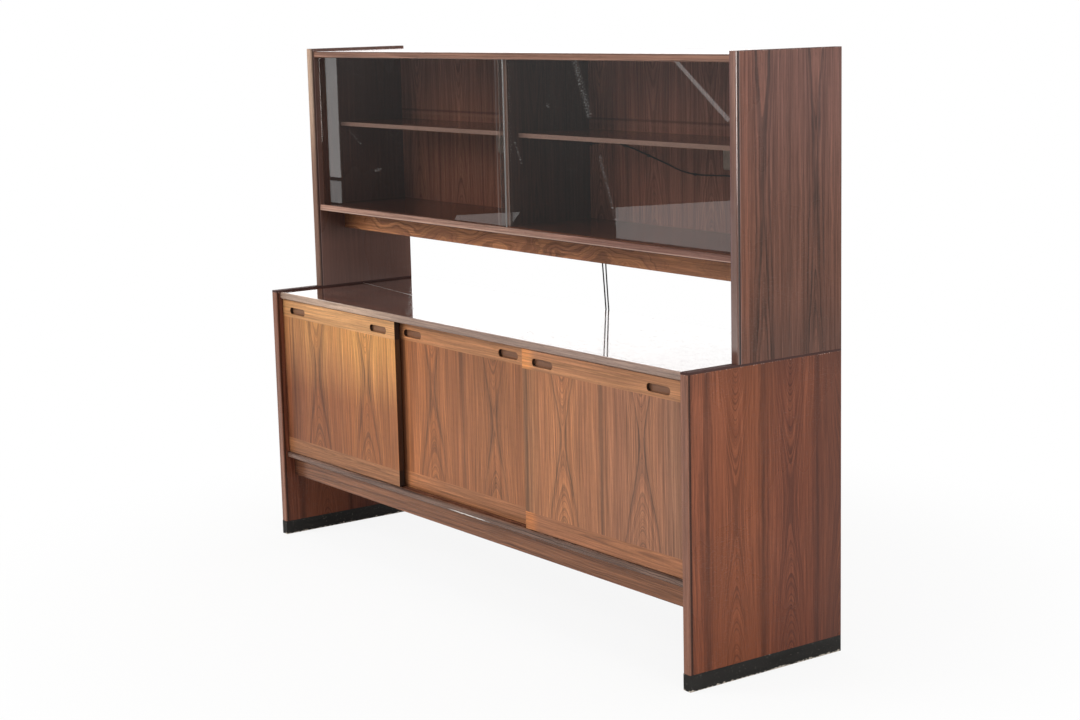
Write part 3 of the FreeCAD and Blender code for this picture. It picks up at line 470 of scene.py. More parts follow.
# Each wooden finish: its axes across, along and through the grain, its figure, colours and gloss.
# Tones darken or lighten at certain places (axis, full at, gone at, factors), patches cover them
# with a colour (axis, full at, gone at, colour, share), and lines are dark or light (axis, place,
# half width, colour, share), only in front of linesBefore where it is given. On several finishes some
# of these are painted light and shade, as said at each. Rims are the heights of dark top edges with
# chips, and pocketsFrom is the depth behind which faces turned to the right, such as the finger slots'
# end walls, get painted shade
plainFigure = {
    "squeeze": (1, 1, 1), "leafWidth": 0.9, "leafPlace": 0.3, "pinch": 0.2, "flameWidth": 0.3,
    "flameReach": 0.02, "streakPlace": 0.4, "streakWidth": 0.01, "streakDepth": 0.0, "seamDepth": 0.0,
    "seamWidth": 0.01, "rings": 120, "contrast": 0.3, "wander": 0.01, "ripple": 0.011, "gloss": (0.24, 0.36),
    "marks": 0.05, "shine": 0.3, "ior": 1.5, "tones": (), "patches": (), "lines": (),
    "linesBefore": None, "rims": (), "pocketsFrom": None,
}
doorFigure = dict(
    plainFigure, order="XZY", pinch=0.55, flameWidth=0.08, flameReach=1.6, streakPlace=0.016,
    streakWidth=0.0042, streakDepth=0.62, seamWidth=0.007, rings=85, contrast=0.51, wander=0.009,
    gloss=(0.34, 0.48),
)
bandFigure = dict(plainFigure, order="ZXY", rings=150, contrast=0.34, wander=0.009, gloss=(0.34, 0.48))
boardFigure = dict(
    plainFigure, order="YXZ", leafWidth=0.24, leafPlace=-0.12, pinch=-0.5, flameWidth=0.08, flameReach=0.2,
    streakPlace=0.05, streakWidth=0.006, streakDepth=0.4, seamDepth=0.4, seamWidth=0.008, rings=90,
    contrast=0.5, wander=0.02,
)
uprightFigure = dict(
    plainFigure, order="YZX", flameWidth=0.055, streakWidth=0.007, contrast=0.5, wander=0.014,
)
nosingFigure = dict(plainFigure, order="ZXY", rings=190, contrast=0.55, gloss=(0.16, 0.26), marks=0.15)
# The finger slots' floors and their end walls are painted darker, as shade in the recesses
paintedSlotShade, pearl, pocketEndShade = (124, 89, 70), (222, 196, 184), (30, 22, 20)


def frontOf(name):
    return min(corner[1] for corner in nodes[name].bound_box)


woods = {
    "baseSideVeneer": dict(
        uprightFigure, nodes=("base_side_right",), leafWidth=0.178, leafPlace=-0.100,
        pinch=0.42, flameReach=0.75, streakPlace=0.075, streakDepth=0.35, seamDepth=0.8, seamWidth=0.009,
        contrast=0.66, wander=0.016, seed=3.1, pale=(164, 96, 66), body=(128, 71, 50),
        dark=(54, 34, 30), marks=0.08,
        lines=(("Y", -0.242, 0.0028, (50, 26, 19), 0.9), ("Y", -0.100, 0.11, (152, 86, 54), 0.3)),
        rims=(0.775,),
        tones=(
            ("Z", 0.05, 0.35, (0.84, 0.78, 0.74)), ("Z", 0.75, 0.40, (1.07, 1.15, 1.24)),
            ("Y", 0.236, 0.205, (1.22, 1.20, 1.16)),
        ),
        patches=(
            ("Z", 0.775, 0.70, (96, 66, 56), 0.25), ("Y", 0.06, -0.04, (98, 56, 48), 0.35),
            ("Y", 0.24, 0.12, (86, 62, 56), 0.4),
        ),
    ),
    "hutchSideVeneer": dict(
        uprightFigure, nodes=("hutch_side_right",), leafWidth=0.172, leafPlace=-0.008,
        pinch=1.16, flameReach=0.115, streakPlace=0.0135, streakWidth=0.005, streakDepth=0.72,
        seamDepth=0.4, seamWidth=0.008, rings=130, contrast=0.62, wander=0.012, seed=7.7,
        pale=(140, 96, 80), body=(112, 78, 67), dark=(62, 51, 47), marks=0.08,
        rims=(1.520,),
        tones=(
            ("Z", 0.80, 0.95, (0.85, 0.90, 0.94)), ("Z", 1.50, 1.00, (1.14, 1.22, 1.38)),
            ("Y", -0.075, 0.03, (1.22, 1.12, 1.04)),
        ),
        lines=(
            ("Y", -0.082, 0.0018, (34, 20, 20), 0.95), ("Y", -0.0793, 0.0013, (176, 148, 142), 0.5),
        ),
    ),
    "leftDoorVeneer": dict(
        doorFigure, nodes=("left_door_panel",), leafWidth=0.286, leafPlace=-0.774, pinch=0.545, seamDepth=0.3,
        streakDepth=0.75, seed=1.3, pale=(193, 134, 83), body=(167, 108, 66), dark=(94, 67, 48),
        # Painted light and shade: the panel is lighter and yellower towards its upper right, where a sheen
        # falls, and darker towards its left end and low down
        tones=(
            ("X", -0.94, -0.80, (0.70, 0.68, 0.78)), ("X", -0.52, -0.68, (1.36, 1.38, 1.23)),
            ("Z", 0.46, 0.60, (0.66, 0.54, 0.56)), ("Z", 0.68, 0.56, (1.27, 1.34, 1.22)),
        ),
        # Painted shade on the door's right end face
        patches=(("X", -0.3216, -0.3222, (38, 26, 22), 0.9),),
    ),
    "middleDoorVeneer": dict(
        doorFigure, nodes=("middle_door_panel",), leafWidth=0.303, leafPlace=-0.163, seamDepth=0.45,
        seed=2.3, pale=(181, 117, 75), body=(155, 96, 62), dark=(84, 60, 46),
        tones=(("X", -0.22, -0.04, (1.26, 1.19, 1.05)), ("X", 0.03, -0.06, (0.91, 0.93, 0.95))),
        # Painted shadow: the strip along the left edge is darkened where the left door casts its shadow
        patches=(("X", -0.318, -0.285, (62, 38, 32), 0.6),),
    ),
    "rightDoorVeneer": dict(
        doorFigure, nodes=("right_door_panel",), leafWidth=0.322, leafPlace=0.478, pinch=0.555,
        seamDepth=0.65, seamWidth=0.009, seed=4.9, pale=(184, 124, 86), body=(159, 104, 73),
        dark=(84, 64, 52),
        tones=(
            ("X", 0.50, 0.57, (1.14, 1.11, 1.02)), ("X", 0.92, 0.85, (0.81, 0.89, 0.98)),
            ("X", 0.72, 0.60, (1.03, 1.06, 1.18)), ("X", 0.33, 0.40, (0.82, 0.87, 0.90)),
        ),
    ),
    "leftBandVeneer": dict(
        bandFigure, nodes=("left_door_bands",), seed=5.3, pale=(224, 168, 112), body=(202, 147, 98),
        dark=(128, 90, 62), pocketsFrom=-0.2274,
        # Painted shade: the lower band is darker, and the left end a little darker
        tones=(("Z", 0.33, 0.45, (0.54, 0.45, 0.47)), ("X", -0.97, -0.70, (0.92, 0.88, 0.86))),
        # The first patch is painted shade on the door's right end face
        patches=(("X", -0.3216, -0.3222, (38, 26, 22), 0.9), ("Y", -0.224, -0.2262, paintedSlotShade, 0.82)),
    ),
    "middleBandVeneer": dict(
        bandFigure, nodes=("middle_door_bands",), seed=6.1, pale=(192, 135, 91), body=(172, 117, 80),
        dark=(102, 70, 54), pocketsFrom=-0.2054,
        # The first tone is painted shade: the lower band is darker
        tones=(("Z", 0.33, 0.45, (0.84, 0.78, 0.78)), ("X", -0.30, -0.05, (1.22, 1.15, 1.04))),
        # The patch along the left edge is the left door's painted shadow
        patches=(("Y", -0.202, -0.2042, paintedSlotShade, 0.82), ("X", -0.318, -0.290, (62, 38, 32), 0.6)),
    ),
    "rightBandVeneer": dict(
        bandFigure, nodes=("right_door_bands",), seed=6.9, pale=(196, 139, 95), body=(174, 119, 84),
        dark=(102, 70, 54), pocketsFrom=-0.2274,
        # The first tone is painted shade, darkening the lower band; the second is a painted highlight by the
        # band's left edge
        tones=(("Z", 0.33, 0.45, (0.76, 0.68, 0.68)), ("X", 0.325, 0.37, (1.6, 1.42, 1.0))),
        patches=(("Y", -0.224, -0.2262, paintedSlotShade, 0.82),),
    ),
    "topVeneer": dict(
        boardFigure, nodes=("base_top",), seed=8.2, pale=(108, 64, 50), body=(82, 48, 38), dark=(42, 27, 23),
        gloss=(0.03, 0.06), marks=0.4, shine=0.5,
    ),
    "boardVeneer": dict(
        boardFigure, nodes=(
            "base_bottom", "hutch_bottom", "hutch_top", "base_shelf_left", "base_shelf_middle",
            "base_shelf_right",
        ), leafWidth=0.26, leafPlace=0.0, seed=9.4, pale=(134, 86, 66), body=(104, 65, 50), dark=(50, 34, 30),
        gloss=(0.12, 0.2),
    ),
    "uprightVeneer": dict(
        uprightFigure, nodes=("hutch_divider", "base_partition_left", "base_partition_right"), leafWidth=0.22,
        leafPlace=0.05, pinch=1.2, flameReach=0.3, streakPlace=0.04, streakDepth=0.4, seamDepth=0.3,
        rings=90, seed=10.6, pale=(96, 66, 56), body=(76, 52, 44), dark=(42, 30, 27), gloss=(0.12, 0.2),
        patches=(("Y", -0.0418, -0.0410, pearl, 0.6),),
    ),
    "backVeneer": dict(
        uprightFigure, nodes=("hutch_back", "base_back"), order="XZY", leafWidth=0.235, leafPlace=-0.41,
        pinch=1.30, flameReach=0.9, flameWidth=0.06, streakPlace=0.05, streakWidth=0.006, streakDepth=0.4,
        seamDepth=0.35, seamWidth=0.008, rings=95, seed=11.8, pale=(214, 158, 130), body=(180, 128, 108),
        dark=(92, 64, 56), gloss=(0.2, 0.32),
        tones=(
            ("Z", 1.00, 1.20, (0.88, 0.84, 0.84)), ("Z", 1.42, 1.25, (1.08, 1.16, 1.28)),
            ("X", 0.35, -0.35, (1.15, 1.15, 1.25)),
        ),
        # Painted reflection: a dark and a pale line on the inner face only, where the display shelves are
        # mirrored in the lacquer
        lines=(("Z", 1.3195, 0.0045, (96, 66, 56), 0.55), ("Z", 1.3095, 0.0045, (206, 156, 134), 0.4)),
        linesBefore=frontOf("hutch_back") + 0.001,
    ),
    "hutchApronVeneer": dict(
        plainFigure, nodes=("hutch_apron",), order="ZXY", squeeze=(2.5, 1.7, 1), leafWidth=9, leafPlace=1.0,
        flameWidth=6, flameReach=0.0, rings=24, contrast=0.5, wander=0.5, ripple=0.03, seed=12.4,
        pale=(220, 150, 98), body=(146, 92, 68), dark=(66, 40, 34), gloss=(0.2, 0.32),
        # The first patch is painted shade at the left end, by the side; the second paints the right part
        # paler
        patches=(("X", -0.97, -0.80, (52, 34, 28), 0.65), ("X", 0.97, 0.35, (140, 100, 80), 0.35)),
    ),
    "baseApronVeneer": dict(
        plainFigure, nodes=("base_apron",), order="ZXY", rings=140, contrast=0.6, wander=0.02, seed=13.9,
        pale=(160, 108, 76), body=(128, 82, 59), dark=(66, 44, 36), gloss=(0.2, 0.32),
        # Painted shade at the left end, under the nosing by the side
        patches=(("X", -0.97, -0.86, (60, 38, 32), 0.6),),
    ),
    "topNosingWood": dict(
        nosingFigure, nodes=("base_top_nosing",), seed=13.2, pale=(178, 151, 136), body=(155, 130, 118),
        dark=(84, 66, 60),
        tones=(("X", -0.55, -0.15, (1.6, 1.62, 1.5)), ("X", -0.95, -0.75, (0.7, 0.7, 0.72))),
    ),
    "hutchTopNosingWood": dict(
        nosingFigure, nodes=("hutch_top_nosing",), seed=13.3, pale=(158, 120, 102), body=(126, 92, 78),
        dark=(66, 48, 42), lines=(("Z", 1.5105, 0.0035, (74, 50, 42), 0.6),),
    ),
    "hutchNosingWood": dict(
        nosingFigure, nodes=("hutch_bottom_nosing",), contrast=0.5, seed=13.5, pale=(184, 146, 128),
        body=(156, 118, 102), dark=(80, 54, 48), marks=0.25,
        tones=(("X", 0.45, 0.05, (0.68, 0.60, 0.62)),),
        # The pale line near the top edge is a painted highlight; a dark line runs just below it
        lines=(("Z", 1.0220, 0.0018, (206, 172, 154), 0.6), ("Z", 1.0188, 0.0014, (70, 44, 36), 0.7)),
    ),
    "lowNosingWood": dict(
        nosingFigure, nodes=("base_bottom_nosing",), rings=200, contrast=0.75, seed=14.1,
        pale=(132, 104, 90), body=(104, 76, 64), dark=(52, 38, 34), marks=0.3,
    ),
    "hutchLippingWood": dict(
        uprightFigure, nodes=("hutch_lipping_right",), order="XZY", ior=1.7,
        contrast=0.3, seed=14.7, pale=(156, 118, 104), body=(130, 92, 80), dark=(76, 50, 44),
        # The patch is painted shade: the lipping is darker red-brown below 1.1 m, fading out by 1.4 m, under
        # the sheen on its upper part
        gloss=(0.12, 0.2), shine=1.0, rims=(1.520,), patches=(("Z", 1.1, 1.4, (100, 62, 50), 0.7),),
        lines=(("Y", -0.0836, 0.0040, (34, 20, 20), 0.95), ("X", 0.9765, 0.0058, (114, 78, 76), 0.75)),
    ),
    "baseLippingWood": dict(
        uprightFigure, nodes=("base_lipping_left", "base_lipping_right"), order="XZY",
        contrast=0.3, seed=14.9, pale=(152, 107, 88), body=(130, 86, 69), dark=(72, 46, 38),
        rims=(0.775,), lines=(("Y", -0.2440, 0.0040, (54, 28, 20), 0.9),),
    ),
    "plainWood": dict(
        plainFigure, nodes=("left_door_slips", "middle_door_slips", "right_door_slips", "joining_dowels"),
        order="ZXY", contrast=0.2, seed=15.9, pale=(196, 164, 124), body=(174, 142, 104), dark=(124, 94, 66),
        gloss=(0.5, 0.62),
    ),
}
woods["leftBaseSideVeneer"] = dict(
    # Painted shade: the inner face is darker
    woods["baseSideVeneer"], nodes=("base_side_left",), tones=(("X", -0.9745, -0.985, (0.66, 0.66, 0.72)),),
)
woods["leftHutchLippingWood"] = dict(
    woods["hutchLippingWood"], nodes=("hutch_lipping_left",), ior=1.5, shine=0.3, gloss=(0.26, 0.38),
    pale=(186, 158, 136), body=(164, 136, 118), lines=(("Y", -0.0836, 0.0034, (60, 42, 40), 0.8),),
)
woods["leftHutchSideVeneer"] = dict(
    woods["hutchSideVeneer"], nodes=("hutch_side_left",), streakDepth=0.4, seamDepth=0.2, tones=(),
    # Painted shade: the inner face is darker; the second patch paints the lower part, in the open niche,
    # paler
    patches=(("X", -0.9745, -0.985, (101, 77, 70), 0.6), ("Z", 0.90, 0.97, (146, 106, 94), 0.4)),
)
for shelfName in ("display_shelf_left", "display_shelf_right"):
    woods[shelfName + "Veneer"] = dict(
        boardFigure, nodes=(shelfName,), leafWidth=0.26, leafPlace=0.0, seed=9.9, pale=(150, 98, 74),
        body=(118, 74, 56), dark=(56, 38, 32), gloss=(0.12, 0.2),
        patches=(("Y", frontOf(shelfName) + 0.0003, frontOf(shelfName) + 0.001, pearl, 0.85),),
    )


def tint(colour, parts, patch):
    axis, full, gone, paintColour, share = patch
    ends = (full, gone, share, 0.0) if full < gone else (gone, full, 0.0, share)
    mask = ease(parts["XYZ".index(axis)], *ends)
    return blend(mask, colour, paint(*paintColour))


# A slow change of tone and brightness that keeps the figure; on several finishes it is painted light and
# shade
def shadeBy(colour, parts, tone):
    axis, full, gone, factors = tone
    ends = (full, gone, 1.0, 0.0) if full < gone else (gone, full, 0.0, 1.0)
    share = ease(parts["XYZ".index(axis)], *ends)
    return blend(share, colour, (*factors, 1), "MULTIPLY")


def rule(colour, parts, line, before):
    axis, middle, reach, paintColour, share = line
    apart = apartFrom(parts["XYZ".index(axis)], middle)
    mask = spread(apart, 0.4 * reach, reach, share, 0.0)
    if before is not None:
        mask = times(mask, calc("LESS_THAN", parts[1], before))
    return blend(mask, colour, paint(*paintColour))


# A near-white strip along the low nosing's lower edge, ragged and fading at its ends
worn = {
    "from": -0.064, "to": 0.150, "height": 0.2530, "reach": 0.0022, "colour": (236, 228, 220),
    "grain": (400, 60, 400),
}


def paleStripMask(vector, parts):
    apart = apartFrom(parts[2], worn["height"])
    inside = spread(apart, 0.5 * worn["reach"], worn["reach"], 1.0, 0.0)
    half = (worn["to"] - worn["from"]) / 2
    along = apartFrom(parts[0], worn["from"] + half)
    ends = spread(along, 0.5 * half, half, 1.0, 0.0)
    ragged = spread(noise(stretch(vector, worn["grain"]), 1.0, 3.0, 0.7), 0.36, 0.5)
    return times(inside, ends, ragged)


# The thin scratch across the left end of the base's top
scratch = {"start": (-0.972, 0.066, 0), "end": (-0.610, 0.020, 0), "width": 0.0035, "broken": 0.3}


def scratchMask(tree):
    return usePart(tree, smearGroup, {
        "Vector": stretch(objectSpot(tree), (1, 1, 0)), "Start": scratch["start"],
        "End": scratch["end"], "Width": scratch["width"], "Broken": scratch["broken"],
    })["Mask"]


# Dark top edges of the ends, with pale chips just below them
rims = {
    "depth": 0.0004, "soft": 0.0005, "chipReach": 0.005, "chipScale": 240.0, "chipGain": 0.16,
    "chipEdge": (0.72, 0.76), "chip": (214, 182, 168), "colour": (74, 49, 45),
}


def addRim(colour, vector, height, level):
    under = level - rims["depth"]
    rim = spread(height, under - rims["soft"], under)
    nearRim = spread(height, level - rims["chipReach"], under)
    ragged = plus(times(nearRim, rims["chipGain"]), noise(vector, rims["chipScale"], 3.0, 0.6))
    chips = times(spread(ragged, *rims["chipEdge"]), calc("CEIL", nearRim))
    colour = blend(chips, colour, paint(*rims["chip"]))
    return blend(rim, colour, paint(*rims["colour"])), rim


lacquer = {
    "dust": (196, 186, 176), "dustRough": 0.5, "rimRough": 0.5, "bump": 0.12, "bumpDepth": 0.0004,
    "pocketShadeFacing": (0.2, 0.6), "pocketShadeShare": 0.9,
}


# A lacquered wooden material for one finish of the table above
def woodFinish(name):
    wood = woods[name]
    material, tree, shader = newMaterial(name, Specular_IOR_Level=wood["shine"], IOR=wood["ior"])
    vector = grainVector(tree, wood["order"])
    inputs = {"Vector": stretch(vector, wood["squeeze"])}
    inputs.update({name: wood[name] for name in figureValues})
    inputs.update({name: paint(*wood[name]) for name in figureColours})
    figure = usePart(tree, figureGroup, inputs)
    marks = usePart(tree, marksGroup, {"Vector": vector, "Amount": wood["marks"], "Scale": 1.0})["Mask"]
    parts = splitAxes(objectSpot(tree))
    colour = figure["Color"]
    for tone in wood["tones"]:
        colour = shadeBy(colour, parts, tone)
    for patch in wood["patches"]:
        colour = tint(colour, parts, patch)
    for line in wood["lines"]:
        colour = rule(colour, parts, line, wood["linesBefore"])
    rimRoughness = 0.0
    for level in wood["rims"]:
        colour, rim = addRim(colour, vector, parts[2], level)
        rimRoughness = larger(rimRoughness, times(rim, lacquer["rimRough"]))
    # Painted shade on faces turned to the right behind pocketsFrom: the slots' end walls and the door's end
    if wood["pocketsFrom"] is not None:
        sideways = splitAxes(put(tree, "NewGeometry").outputs["Normal"])[0]
        facing = spread(sideways, *lacquer["pocketShadeFacing"], 0.0, lacquer["pocketShadeShare"])
        ends = times(facing, calc("GREATER_THAN", parts[1], wood["pocketsFrom"]))
        colour = blend(ends, colour, paint(*pocketEndShade))
    if name == "lowNosingWood":
        colour = blend(paleStripMask(vector, parts), colour, paint(*worn["colour"]))
    if name == "topVeneer":
        marks = larger(marks, scratchMask(tree))
    colour = blend(marks, colour, paint(*lacquer["dust"]))
    rough = spread(figure["Matt"], 0.1, 0.7, *wood["gloss"])
    rough = plus(rough, times(marks, lacquer["dustRough"]))
    rough = calc("ADD", rough, rimRoughness, clamp=True)
    feed(shader, colour, rough, figure["Height"], lacquer["bump"], lacquer["bumpDepth"])
    return material


for woodName, wood in woods.items():
    dress(woodFinish(woodName), *wood["nodes"])
print("wood finished:", len(woods), "kinds")

# Black feet with chipped lower edges and pale specks
foot = {
    "colour": (27, 26, 24), "worn": (42, 40, 38), "wear": (30, 6, 60), "rough": (0.38, 0.6),
    "chip": (206, 196, 182), "chipHeight": 0.007, "chipScale": 90.0, "chipGain": 0.3,
    "chipEdge": (0.69, 0.73), "speckScale": 330.0, "speckShare": 0.6,
    "grainScale": 700.0, "grainHeight": 0.3, "bump": 0.3, "bumpDepth": 0.0006,
}


def footFinish():
    material, tree, shader = newMaterial("blackFoot", Specular_IOR_Level=0.25)
    spot = objectSpot(tree)
    low = spread(splitAxes(spot)[2], 0.0, foot["chipHeight"], 1.0, 0.0)
    ragged = plus(times(low, foot["chipGain"]), noise(spot, foot["chipScale"], 4.0, 0.65))
    chips = ease(ragged, *foot["chipEdge"])
    specks = noise(spot, foot["speckScale"], 2.0, 0.5)
    chips = larger(chips, ease(specks, *foot["chipEdge"], 0.0, foot["speckShare"]))
    wear = noise(stretch(spot, foot["wear"]), 1.0, 3.0)
    colour = blend(spread(wear, 0.35, 0.75), paint(*foot["colour"]), paint(*foot["worn"]))
    colour = blend(chips, colour, paint(*foot["chip"]))
    relief = minus(times(noise(spot, foot["grainScale"], 2.0), foot["grainHeight"]), chips)
    feed(shader, colour, spread(wear, 0.3, 0.7, *foot["rough"]), relief, foot["bump"], foot["bumpDepth"])
    return material


dress(footFinish(), "foot_left", "foot_right")

# Smoked glass, with dust and wiped streaks; these, a haze of reflection and the pane edges glow as painted
# light
glass = {
    "tint": (192, 184, 180), "dust": (206, 204, 202), "through": (230, 225, 222), "streakGlow": 0.6,
    "dustAmount": 0.3, "dustScale": 0.8, "dustRough": 0.1, "dustGlow": 0.12,
    # The haze is a painted haze of reflection, given as glow
    "hazeGlow": (0.003, 0.02),  # left and right of the edges where the panes overlap
    # The pane edges glow as painted highlights
    "edges": (-0.017, 0.017), "edgeWidth": (0.0003, 0.0008), "edgeGlow": 0.42,
    "streaks": [  # start, end and width, in metres across and up
        ((0.330, 1.490), (0.385, 1.355), 0.016), ((0.428, 1.245), (0.492, 1.080), 0.009),
        ((-0.660, 1.158), (-0.630, 1.163), 0.006), ((0.205, 1.375), (0.212, 1.370), 0.007),
        ((-0.800, 1.270), (-0.740, 1.235), 0.004), ((0.050, 1.270), (0.080, 1.215), 0.005),
    ],
}


def glassFinish():
    material, tree, shader = newMaterial(
        "smokedGlass", Metallic=0.0, Transmission_Weight=1.0, IOR=1.5, Emission_Strength=glass["streakGlow"])
    spot = objectSpot(tree)
    dust = {"Vector": spot, "Amount": glass["dustAmount"], "Scale": glass["dustScale"]}
    marks = usePart(tree, marksGroup, dust)["Mask"]
    colour = blend(marks, paint(*glass["tint"]), paint(*glass["dust"]))
    feed(shader, colour, times(marks, glass["dustRough"]))
    # Painted light: the dust, the wiped streaks, a haze of reflection and the pane edges glow
    flat = stretch(spot, (1, 0, 1))
    side = splitAxes(spot)[0]
    hazeGlow = spread(side, *glass["edges"], *glass["hazeGlow"])
    total = plus(times(marks, glass["dustGlow"]), hazeGlow)
    for start, end, width in glass["streaks"]:
        streak = usePart(tree, smearGroup, {
            "Vector": flat, "Start": (start[0], 0, start[1]), "End": (end[0], 0, end[1]), "Width": width,
        })["Mask"]
        total = larger(total, streak)
    for edge in glass["edges"]:
        line = spread(apartFrom(side, edge), *glass["edgeWidth"], glass["edgeGlow"], 0.0)
        total = larger(total, line)
    glow = blend(total, (0, 0, 0, 1), paint(*glass["dust"]))
    tree.links.new(glow, shader.inputs["Emission Color"])
    # Light goes straight through the pane, so that the shelves behind it are lit
    rays = put(tree, "LightPath").outputs
    lit = larger(rays["Is Shadow Ray"], rays["Is Diffuse Ray"])
    clear = put(tree, "BsdfTransparent", {"Color": paint(*glass["through"])}).outputs[0]
    joined = put(tree, "MixShader", {0: lit, 1: shader.outputs[0], 2: clear}).outputs[0]
    tree.links.new(joined, tree.nodes["Material Output"].inputs["Surface"])
    return material


dress(glassFinish(), "glass_left", "glass_right")

# Plastics
plastics = {
    "opalPlastic": {
        "nodes": ("lamp_bases",), "colour": (232, 229, 220), "rough": (0.32, 0.5), "grain": 900.0,
    },
    "cordSheath": {
        "nodes": ("inner_leads",), "colour": (30, 29, 30), "rough": (0.42, 0.58), "grain": 1200.0,
    },
    "darkPlastic": {
        "nodes": ("lead_grommets", "lead_clips", "plug_left", "plug_right"), "colour": (34, 33, 34),
        "rough": (0.34, 0.5), "grain": 1500.0,
    },
}
plasticLook = {"lighter": (14, 14, 13), "cloudScale": 12.0, "bump": 0.15, "bumpDepth": 0.0002}


def plasticFinish(name):
    plastic = plastics[name]
    material, tree, shader = newMaterial(name)
    spot = objectSpot(tree)
    cloud = noise(spot, plasticLook["cloudScale"], 3.0)
    lighter = paint(*(min(sum(pair), 255) for pair in zip(plastic["colour"], plasticLook["lighter"])))
    colour = blend(spread(cloud, 0.35, 0.7), paint(*plastic["colour"]), lighter)
    grain = noise(spot, plastic["grain"], 3.0)
    rough = spread(cloud, 0.3, 0.7, *plastic["rough"])
    feed(shader, colour, rough, grain, plasticLook["bump"], plasticLook["bumpDepth"])
    return material


plasticMaterials = {name: plasticFinish(name) for name in plastics}
for plasticName, plastic in plastics.items():
    dress(plasticMaterials[plasticName], *plastic["nodes"])
for item in cordItems.values():
    item.data.materials.append(plasticMaterials["cordSheath"])


# A fluted cover with plain end caps and a rocker switch for each lamp
cover = {
    "cornerRadius": 0.009, "cornerSteps": 6, "endRound": 0.0016, "capLength": 0.010, "grooveWidth": 0.0012,
    "grooveDepth": 0.0008, "grooveSlope": 0.0003, "flutes": 9, "fluteDepth": 0.0009, "fluteSlope": 0.0006,
    "sharpAngle": 32, "near": 0.0001, "cutNear": 0.00001,
    "orderBy": (1, 7.3, 53.7),  # puts its points and faces in the same order in every run
    "switch": {"inset": 0.013, "length": 0.016, "height": 0.008, "proud": 0.0018, "round": 0.0006},
}


def roundEdges(shape, edges, offset, steps=2):
    bmesh.ops.bevel(
        shape, geom=edges, offset=offset, segments=steps, profile=0.5, affect="EDGES", material=-1)


def makeBlock(shape, low, high):
    verts = bmesh.ops.create_cube(shape, size=1)["verts"]
    bmesh.ops.scale(shape, verts=verts, vec=[top - bottom for bottom, top in zip(low, high)])
    bmesh.ops.translate(shape, verts=verts, vec=[(top + bottom) / 2 for bottom, top in zip(low, high)])
    return list({edge for vert in verts for edge in vert.link_edges})


def cutAt(shape, axis, place, faces=None):
    faces = faces or shape.faces[:]
    parts = set(faces)
    for face in faces:
        parts.update(face.edges, face.verts)
    spot, normal = [0, 0, 0], [0, 0, 0]
    spot[axis], normal[axis] = place, 1
    bmesh.ops.bisect_plane(
        shape, geom=list(parts), dist=cover["cutNear"], plane_co=spot, plane_no=normal)


def near(value, place):
    return abs(value - place) < cover["near"]


def makeCover(name):
    low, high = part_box(f"lamp_{name}")
    shape = bmesh.new()
    edges = makeBlock(shape, low, high)
    front = [e for e in edges if all(near(vert.co.y, low[1]) for vert in e.verts)]
    front = [e for e in front if near(e.verts[0].co.z, e.verts[1].co.z)]
    roundEdges(shape, front, cover["cornerRadius"], cover["cornerSteps"])
    for end in (low[0], high[0]):
        rim = [e for e in shape.edges if all(near(vert.co.x, end) for vert in e.verts)]
        rim = [e for e in rim if not all(near(vert.co.y, high[1]) for vert in e.verts)]
        roundEdges(shape, rim, cover["endRound"])
    first, last = low[0] + cover["capLength"], high[0] - cover["capLength"]
    starts = (first, last - cover["grooveWidth"])
    for start in starts:
        cutAt(shape, 0, start)
        cutAt(shape, 0, start + cover["grooveWidth"])
    bottom, top = low[2] + cover["cornerRadius"], high[2] - cover["cornerRadius"]

    def frontFaces():
        faces = []
        for face in shape.faces:
            middle = face.calc_center_median()
            if near(middle.y, low[1]) and first + cover["grooveWidth"] < middle.x < starts[1]:
                faces.append(face)
        return faces

    strips = 2 * cover["flutes"]
    for number in range(1, strips):
        cutAt(shape, 2, bottom + (top - bottom) * number / strips, frontFaces())
    flutes = sorted(frontFaces(), key=lambda face: face.calc_center_median().z)
    bmesh.ops.inset_individual(
        shape, faces=flutes[::2], thickness=cover["fluteSlope"], depth=-cover["fluteDepth"],
        use_even_offset=True)
    for start in starts:
        ring = [
            face for face in shape.faces
            if start < face.calc_center_median().x < start + cover["grooveWidth"]
            and abs(face.normal.x) < 0.5 and face.calc_center_median().y < high[1] - cover["near"]
        ]
        bmesh.ops.inset_region(
            shape, faces=ring, thickness=cover["grooveSlope"], depth=-cover["grooveDepth"],
            use_even_offset=True)
    rocker = cover["switch"]
    middle, outer = (low[2] + high[2]) / 2, last - rocker["inset"]
    switch = makeBlock(
        shape, (outer - rocker["length"], low[1] - rocker["proud"], middle - rocker["height"] / 2),
        (outer, low[1] + rocker["proud"], middle + rocker["height"] / 2))
    roundEdges(shape, switch, rocker["round"])
    bmesh.ops.recalc_face_normals(shape, faces=shape.faces)
    shape.verts.sort(key=lambda vert: vert.co.dot(cover["orderBy"]))
    shape.faces.sort(key=lambda face: face.calc_center_median().dot(cover["orderBy"]))
    mesh = bpy.data.meshes.new("lampCover" + name.capitalize())
    shape.to_mesh(mesh)
    shape.free()
    mesh.shade_smooth()
    mesh.set_sharp_from_angle(angle=math.radians(cover["sharpAngle"]))
    item = bpy.data.objects.new(mesh.name, mesh)
    bpy.context.scene.collection.objects.link(item)
    mesh.materials.append(plasticMaterials["opalPlastic"])
    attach(item, "case")
    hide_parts(f"lamp_{name}")


for lampName in ("right", "left"):
    makeCover(lampName)

# Shelf pins and plug pins
brass = {"colour": (196, 160, 96), "tarnished": (148, 116, 72), "rough": (0.25, 0.45), "tarnishScale": 160.0}


